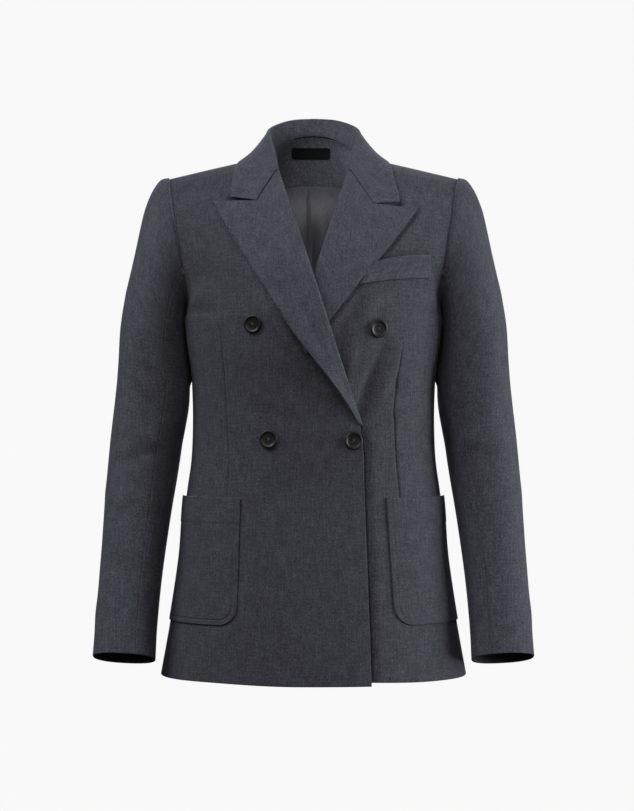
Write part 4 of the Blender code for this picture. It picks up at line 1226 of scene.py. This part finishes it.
# %% The lining's satin and the label's weave
def satin(name, colour, deep):
    """Viscose satin: long floats of thread give a smooth, soft gloss across the weave."""
    made, tree, shader = blank_finish(name, Roughness=0.42, Specular_IOR_Level=0.45,
                                      Sheen_Weight=0.1)
    flat = add(tree, "ShaderNodeUVMap", uv_map="cloth")
    floats = mapped(tree, flat.outputs[0], "ShaderNodeTexNoise", (900, 90, 1),
                    noise_dimensions="2D", Detail=2.0)
    shade_between(tree, shader, floats.outputs[0], (0.25, deep), (0.7, colour))
    emboss(tree, shader, floats.outputs[0], 0.15, 0.0002)
    return made


def damask(name, colour, pale):
    """Woven label: tight black polyester with a fine level rib."""
    made, tree, shader = blank_finish(name, Roughness=0.55)
    flat = add(tree, "ShaderNodeUVMap", uv_map="cloth")
    thread = mapped(tree, flat.outputs[0], "ShaderNodeTexNoise", (1000, 2000, 1),
                    noise_dimensions="2D", Detail=1.0)
    shade_between(tree, shader, thread.outputs[0], (0.0, colour), (1.0, pale))
    emboss(tree, shader, thread.outputs[0], 0.4, 0.0002)
    return made


SATIN = satin("satin_lining", "#92929f", "#7b7b87")
DAMASK = damask("woven_label", "#15171a", "#202326")

# %% Facing, lining and label
FACING_ROW, FACING_SHARE, LINING_SHARE, BACK_WIDTH = 12.33, 3 / 9, 8 / 9, 215.0
LINING_HEM = 22.0
PLEAT_AT, PLEAT_DEPTH, PLEAT_SLIT, PLEAT_REACH = 7.5, 14.0, 1.1, (16.0, 75.0)
PLEAT_LINES = (-4.0, -2.3, -1.5, -0.9, -0.4, 0.0, 0.4, 0.9, 1.5, 2.3, 4.0)
PLEAT_OPEN = (4.0, 7.0, 0.75)       # lower down it opens: how far over, how wide, how much
PLEAT_HEM, PLEAT_HEAD, PLEAT_SPREAD = 120, (0, 64), (30, 95)    # where each fades, in height
LABEL_SIZE, LABEL_CORNER, LABEL_THICK = (54.0, 15.0), 3.6, 0.6
LABEL_SHIFT = (-4.0, 3.5)           # it is sewn on a little to one side, and up


def inside_back(low, high, share, columns, spacing, extra=()):
    """A layer inside the back, between two of its places, over both halves."""
    place = even_places(back_form, low, high, spacing, 0.1)[:, None]
    shares = set(tight(columns, share * BACK_WIDTH))
    shares = {v for v in shares if all(abs(v - e) > 0.0025 for e in extra)} | set(extra)
    across = share * np.array(sorted(shares))[None, :]
    half = back_form(across, place)
    half = half - normal_at(back_form, np.maximum(across, 0.01), place) * LAY
    other = half[:, :0:-1] * np.array((-1.0, 1, 1))
    return np.concatenate((other, half), axis=1)


facing = inside_back(FACING_ROW, BACK_TOP, FACING_SHARE, 34, 1.6)
normals = grid_normals(facing)
piece = shell("cloth_back_facing", facing, normals, grain(facing) + (5000, 0),
              sides=("free", "seam", "seam", "seam"))
# the facing takes the paler copy of the suiting, which is painted light
sew(piece, "back_facing", WOOL_FACING_PAINTED_LIGHT)

LINING_CREASES = (
    (14, -58, 20, -200, 7, 2.0),
    (34, -70, 58, -210, 12, -1.8),
    (-30, -60, -48, -230, 13, 1.6),
    (-60, -90, -82, -300, 14, -1.6),
    (70, -110, 92, -330, 16, 1.5),
    (0, -330, 30, -560, 18, 1.4),
    (-40, -360, -70, -600, 18, -1.4),
)
place_low = np.interp(FRONT[0][0] + LINING_HEM, [r[0] for r in BACK], range(len(BACK)))
slit = [(PLEAT_AT + d) / (LINING_SHARE * BACK_WIDTH) for d in PLEAT_LINES]
lining = inside_back(place_low, FACING_ROW, LINING_SHARE, 76, 3.8, slit)
x, z = lining[..., 0], lining[..., 2]
down = lining[-1, :, 2].max() - z
over, wide, much = PLEAT_OPEN
opened = much * bump(x + PLEAT_AT - over, wide) * smooth(*PLEAT_SPREAD, down)
pleat = PLEAT_DEPTH * (1 - smooth(*PLEAT_REACH, np.abs(x + PLEAT_AT)))
pleat = pleat * (1 - np.maximum(bump(x + PLEAT_AT, PLEAT_SLIT), opened))
pleat = pleat * smooth(z.min(), z.min() + PLEAT_HEM, z) * smooth(*PLEAT_HEAD, down)
lining[..., 1] -= pleat + np.abs(strokes(LINING_CREASES, x, z) * smooth(0, 16, down))
piece = shell("satin_back_lining", lining, grid_normals(lining), grain(lining) + (5500, 0),
              LINING, ("free", "seam", "seam", "seam"))
sew(piece, "back_lining", SATIN)


def between(table, place):
    """A table's row at a place that may lie between two rows."""
    i = min(int(place), len(table) - 2)
    return table[i] * (1 - place + i) + table[i + 1] * (place - i)


def on_facing(x, z):
    """The facing's point at a spot, found by turns along its rows and columns."""
    row, column = len(facing) / 2, facing.shape[1] / 2
    for _ in range(6):
        column = np.interp(x, between(facing[..., 0], row), range(facing.shape[1]))
        row = np.interp(z, between(facing[..., 2].T, column), range(len(facing)))
    return between(between(facing, row), column)


def label_grid():
    """The woven label on the facing: a bare oblong with round corners."""
    wide, tall = LABEL_SIZE
    u, v = np.meshgrid(tight(44, wide), tight(18, tall))
    low, high = (np.array(c) * 1000 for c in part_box("neck_label"))
    rise = np.maximum(np.abs(v - 0.5) * tall - (tall / 2 - LABEL_CORNER), 0)
    pull = LABEL_CORNER - np.sqrt(np.maximum(LABEL_CORNER ** 2 - rise ** 2, 0))
    x = (u - 0.5) * (high[0] - low[0]) * (1 - 2 * pull / wide) + LABEL_SHIFT[0]
    z = (low[2] + high[2]) / 2 + LABEL_SHIFT[1] + (v - 0.5) * tall * 0.98
    grid = np.array([on_facing(*spot) for spot in zip(x.flat, z.flat)])
    grid = grid.reshape(x.shape + (3,))
    normals = grid_normals(grid)
    normals = normals * -np.sign(normals[..., 1:2])
    return grid + normals * (CLOTH / 2 + SEAM + LABEL_THICK / 2 + 0.2), normals


grid, normals = label_grid()
piece = shell("woven_label", grid, normals, grain(grid), LABEL_THICK)
sew(piece, "neck_label", DAMASK)

# %% [markdown]
# ## Buttons
# Each button is turned from dark resin cast to look like horn: a raised round rim, a
# dished face and four holes. One is modelled and copied, as a factory would.

# %% The button's resin and the thread
def resin(name, dark, pale):
    """Cast polyester: satin-smooth near-black with a few smoky streaks, like horn."""
    made, tree, shader = blank_finish(name, Roughness=0.42, IOR=1.54,
                                      Specular_IOR_Level=0.45)
    place = add(tree, "ShaderNodeTexCoord")
    smoke = mapped(tree, place.outputs["Object"], "ShaderNodeTexNoise", (180, 60, 420),
                   (0.3, 0.5, 0.2), Detail=4.0, Distortion=0.8)
    shade_between(tree, shader, smoke.outputs[0], (0.48, dark), (0.8, pale))
    return made


def twisted(name, dark, pale):
    """Sewing thread: matt, twisted tightly."""
    made, tree, shader = blank_finish(name, Roughness=0.8)
    place = add(tree, "ShaderNodeTexCoord")
    fuzz = mapped(tree, place.outputs["Object"], "ShaderNodeTexNoise",
                  (1600, 1600, 1600), Detail=1.0)
    shade_between(tree, shader, fuzz.outputs[0], (0.0, dark), (1.0, pale))
    return made


HORN = resin("horn_resin", "#0b0b0c", "#1d1c1b")
THREAD_BLACK = twisted("button_thread", "#2a2b30", "#54555c")

# %% Turn one button
BUTTON_RADIUS, BUTTON_THICK, BUTTON_DISH = 11.7, 3.6, 1.1
HOLE_RADIUS, HOLE_REACH, HOLE_TURN = 1.4, 3.2, 0.9
THREAD_BAR = (0.9, 0.62, 0.5)   # its reach past the hole, and its half width and height
BUTTON_PROFILE = (      # radius and height, as shares, from the back round to the dish
    (0, 0), (0.7, 0), (0.86, 0.08), (0.95, 0.28), (0.995, 0.5), (1.0, 0.62), (0.985, 0.8),
    (0.94, 0.94), (0.88, 1.0), (0.81, 0.985), (0.76, 0.9), (0.72, 0.78), (0.66, 0.71),
    (0.5, 0.675), (0, 0.66))


def turned_button():
    """The button at the origin, its face up."""
    points = [(r * BUTTON_RADIUS * MM, 0, z * BUTTON_THICK * MM) for r, z in BUTTON_PROFILE]
    edges = [(k, k + 1) for k in range(len(points) - 1)]
    blank = new_piece("button_blank", points, [], edges)
    only(blank)
    bpy.ops.object.mode_set(mode="EDIT")
    bpy.ops.mesh.select_all(action="SELECT")
    bpy.ops.mesh.spin(steps=72, angle=2 * math.pi, center=(0, 0, 0), axis=(0, 0, 1))
    bpy.ops.mesh.select_all(action="SELECT")
    bpy.ops.mesh.remove_doubles(threshold=0.00001)
    bpy.ops.mesh.normals_make_consistent(inside=False)
    bpy.ops.object.mode_set(mode="OBJECT")
    for k in range(4):
        turn = HOLE_TURN + k * math.pi / 2
        spot = (HOLE_REACH * MM * math.cos(turn), HOLE_REACH * MM * math.sin(turn), 0)
        bpy.ops.mesh.primitive_cylinder_add(vertices=20, radius=HOLE_RADIUS * MM,
                                            depth=5 * BUTTON_THICK * MM, location=spot)
        drill = bpy.context.object
        only(blank)
        hole = blank.modifiers.new("hole", "BOOLEAN")
        hole.operation, hole.object = "DIFFERENCE", drill
        bpy.ops.object.modifier_apply(modifier=hole.name)
        bpy.data.objects.remove(drill, do_unlink=True)
    only(blank)
    bpy.ops.object.shade_smooth_by_angle(angle=math.radians(40))
    return blank


def thread_cross():
    """Thread through the four holes, as two short bars."""
    bars = []
    for k in range(2):
        turn = HOLE_TURN + k * math.pi / 2
        bpy.ops.mesh.primitive_uv_sphere_add(segments=20, ring_count=12, radius=0.001)
        bar = bpy.context.object
        bar.scale = (HOLE_REACH + THREAD_BAR[0], *THREAD_BAR[1:])
        bar.rotation_euler = (0, 0, turn)
        bar.location = (0, 0, (BUTTON_THICK - BUTTON_DISH - 0.1 + 0.35 * k) * MM)
        bars.append(bar)
    bpy.ops.object.select_all(action="DESELECT")
    for bar in bars:
        bar.select_set(True)
    bpy.context.view_layer.objects.active = bars[0]
    bpy.ops.object.join()
    bpy.ops.object.transform_apply(location=True, rotation=True, scale=True)
    bpy.ops.object.shade_smooth()
    return bars[0]


# %% Sew the buttons on
BUTTONS = {"button_upper_right": (-75.3, -216), "button_upper_left": (82.5, -222),
           "button_lower_right": (-55.5, -363), "button_lower_left": (49.5, -365)}


def copy_onto(blank, name, x, height, side, lift):
    """A copy of a piece, laid on a front and turned to face out."""
    own = np.array(x * side)
    normal = on_side(normal_at(front_form, *front_place(own, height)), side)
    spot = on_side(on_front(side, own, height, lift), side)
    piece = blank.copy()
    piece.data = blank.data.copy()
    piece.name = name
    bpy.context.collection.objects.link(piece)
    piece.location = Vector(spot) * MM
    piece.rotation_euler = Vector(normal).to_track_quat("Z", "Y").to_euler()
    only(piece)
    bpy.ops.object.transform_apply(location=True, rotation=True, scale=True)
    return piece


BUTTON_LIFT = CLOTH / 2 + SEAM + 0.4
blank, cross = turned_button(), thread_cross()
for name, (x, height) in BUTTONS.items():
    side = LEFT if name == "button_upper_left" else RIGHT
    button = copy_onto(blank, "horn_" + name, x, height, side, BUTTON_LIFT)
    sew(button, name, HORN)
    tie = copy_onto(cross, "thread_" + name, x, height, side, BUTTON_LIFT)
    join_body(tie, THREAD_BLACK)
for spare in (blank, cross):
    bpy.data.objects.remove(spare, do_unlink=True)

# %% [markdown]
# ## Buttonhole
# A buttonhole is cut with a knife and closed round with thread. Its bar of close
# stitches stands a little above the cloth.

# %% Buttonhole
HOLE_FROM, HOLE_TO, HOLE_HEIGHTS = 26.0, 44.0, (-361.0, -362.5)
HOLE_HALF, HOLE_THREAD, STITCHES, ROUND = 1.15, 0.62, 26, 10


def buttonhole():
    """A closed rope of stitches round the cut."""
    count = STITCHES * 8
    t = np.linspace(0, 2 * np.pi, count, endpoint=False)
    half = (HOLE_TO - HOLE_FROM) / 2
    x = (HOLE_FROM + HOLE_TO) / 2 + half * np.sign(np.cos(t)) * np.abs(np.cos(t)) ** 0.7
    z = np.interp(x, (HOLE_FROM, HOLE_TO), HOLE_HEIGHTS) + HOLE_HALF * np.sin(t)
    path = on_side(on_front(RIGHT, -x, z, CLOTH / 2 + 0.15), RIGHT)
    ahead = unit(np.roll(path, -1, axis=0) - np.roll(path, 1, axis=0))
    out = unit(np.cross(ahead, np.cross((0, -1.0, 0), ahead)))
    sideways = np.cross(ahead, out)
    thick = HOLE_THREAD * (1 + 0.22 * np.cos(t * STITCHES))[:, None]
    rings = [path + thick * (out * math.cos(a) * 0.8 + sideways * math.sin(a))
             for a in np.linspace(0, 2 * np.pi, ROUND, endpoint=False)]
    points = np.stack(rings, axis=1).reshape(-1, 3) * MM
    index = np.arange(count * ROUND).reshape(count, ROUND)
    closed = np.pad(index, ((0, 1), (0, 1)), mode="wrap")
    rope = new_piece("buttonhole", points.tolist(), grid_faces(closed).tolist())
    tidy_faces(rope)
    return rope


join_body(buttonhole(), THREAD_BLACK)
print("buttonhole", HOLE_TO - HOLE_FROM, "mm long")

# %% [markdown]
# ## The cut
# Every piece is cut flat from the bolt before it is sewn. These are the cut sizes of what
# shows, without the seam allowances, worked out from the girths and lengths of the
# pattern. None is an oblong, so each has a flat area of its own. The backs carry the
# rest: they lie on the shoulders of whoever wears the jacket.

# %% Cut sizes
CUT = {     # width and length in mm, area in square cm, how it is held, and by what
    "cloth_back": (260, 755, 1530, "draped", ()),
    "cloth_front": (350, 760, 1840, "hung", ("back_{0}",)),
    "cloth_top_sleeve": (215, 655, 1180, "hung", ("front_{0}", "back_{0}")),
    "cloth_under_sleeve": (140, 545, 605, "hung", ("front_{0}", "back_{0}")),
    "cloth_lapel": (135, 370, 220, "folded", ("front_{0}",)),
    "cloth_pocket": (150, 178, 230, "laid", ("front_{0}",)),
    "cloth_welt": (98, 36, 24, "laid", ("front_left",)),
    "cloth_collar": (115, 500, 340, "folded", ("back_right", "back_left")),
    "cloth_back_facing": (205, 88, 124, "hung", ("back_right", "back_left")),
    "satin_back_lining": (455, 640, 2410, "hung", ("back_facing",)),
    "woven_label": (54, 17, 8.6, "laid", ("back_facing",)),
}
for cut, (width, length, area, held, holders) in CUT.items():
    for name in SIDES.values():
        piece = bpy.data.objects.get(f"{cut}_{name}")
        if piece is None and name == "right":
            piece = bpy.data.objects[cut]
        if piece is not None:
            print(piece.name, "cut", width, "x", length, "mm")

# %% [markdown]
# ## Studio
# The jacket hangs in a white studio, with a pale floor far below it that curves up into
# a backdrop all round. A strong lamp stands low on one side and a weaker one high on
# the other, so folds that face the strong one catch the light. A weak lamp in front
# fills the shadows, and one behind lights the back. The camera is level and far away,
# so the jacket hardly tapers.

# %% Camera
DISTANCE, SCALE, EYE = 3.3, 0.00132, (0.0046, -0.3194)
FRAME_WIDTH, SENSOR = 634, 36.0

lens = bpy.data.cameras.new("camera")
lens.sensor_fit, lens.sensor_width = "HORIZONTAL", SENSOR
lens.lens = SENSOR * DISTANCE / (SCALE * FRAME_WIDTH)
camera = bpy.data.objects.new("camera", lens)
bpy.context.collection.objects.link(camera)
camera.location = (EYE[0], -DISTANCE, EYE[1] - SCALE / 2)
camera.rotation_euler = (math.radians(90), 0, 0)
bpy.context.scene.camera = camera
print("lens", round(lens.lens, 1), "mm at", DISTANCE, "m")

# %% Floor and backdrop
FLOOR, SWEEP_RADIUS, SWEEP_BACK, SWEEP_TOP, SWEEP_SIDES = -5.6, 4.0, 8.0, 9.0, 96
SWEEP_MIDDLE = [0.5, 3.0]       # rings of the level part


def sweep():
    """A pale floor that curves up into a backdrop all round."""
    rise = np.linspace(0, np.pi / 2, 24)
    curved = SWEEP_BACK - SWEEP_RADIUS * (1 - np.sin(rise))
    out = np.concatenate((SWEEP_MIDDLE, curved, [SWEEP_BACK]))
    raised = SWEEP_RADIUS * (1 - np.cos(rise))
    up = np.concatenate(([0, 0], raised, [SWEEP_TOP - FLOOR])) + FLOOR
    turn = np.linspace(0, 2 * np.pi, SWEEP_SIDES, endpoint=False)
    points = [(a * math.cos(t), a * math.sin(t), z) for a, z in zip(out, up) for t in turn]
    index = np.arange(len(points)).reshape(len(out), SWEEP_SIDES)
    after = np.roll(index, -1, axis=1)
    faces = np.stack((index[:-1], index[1:], after[1:], after[:-1]), axis=-1).reshape(-1, 4)
    floor = new_piece("studio_sweep", points, faces.tolist() + [index[0].tolist()])
    paint = blank_finish("studio_white", Base_Color=linear("#333333"), Roughness=0.9,
                         Emission_Color=linear("#f9f9f9"), Emission_Strength=0.99)[0]
    floor.data.materials.append(paint)
    floor.visible_diffuse = floor.visible_glossy = False
    only(floor)
    bpy.ops.object.shade_smooth()
    return floor


sweep()

# %% Lights
LIGHT_DISTANCE, TARGET = 3.3, Vector((0, 0, -0.35))
LIGHTS = {      # degrees round from the front, degrees up, power in watts, size in metres
    "front": (0, 30, 32, 3.0),
    "right": (82, 5, 100, 2.0),
    "left": (-62, 42, 70, 2.0),
    "back": (180, 30, 60, 2.0),
}
for name, (round_by, up_by, power, size) in LIGHTS.items():
    lamp = bpy.data.lights.new(name, "AREA")
    lamp.energy, lamp.size = power, size
    light = bpy.data.objects.new(name, lamp)
    bpy.context.collection.objects.link(light)
    turn, up = math.radians(round_by), math.radians(up_by)
    away = Vector((math.sin(turn) * math.cos(up), -math.cos(turn) * math.cos(up), math.sin(up)))
    light.location = TARGET + LIGHT_DISTANCE * away
    light.rotation_euler = (-away).to_track_quat("-Z", "Y").to_euler()
world = bpy.data.worlds.new("studio")
world.use_nodes = True
sky = world.node_tree.nodes["Background"].inputs
sky["Color"].default_value, sky["Strength"].default_value = linear("#ffffff"), 0.03
bpy.context.scene.world = world
bpy.context.scene.view_settings.view_transform = "Standard"
print("lights", list(LIGHTS))
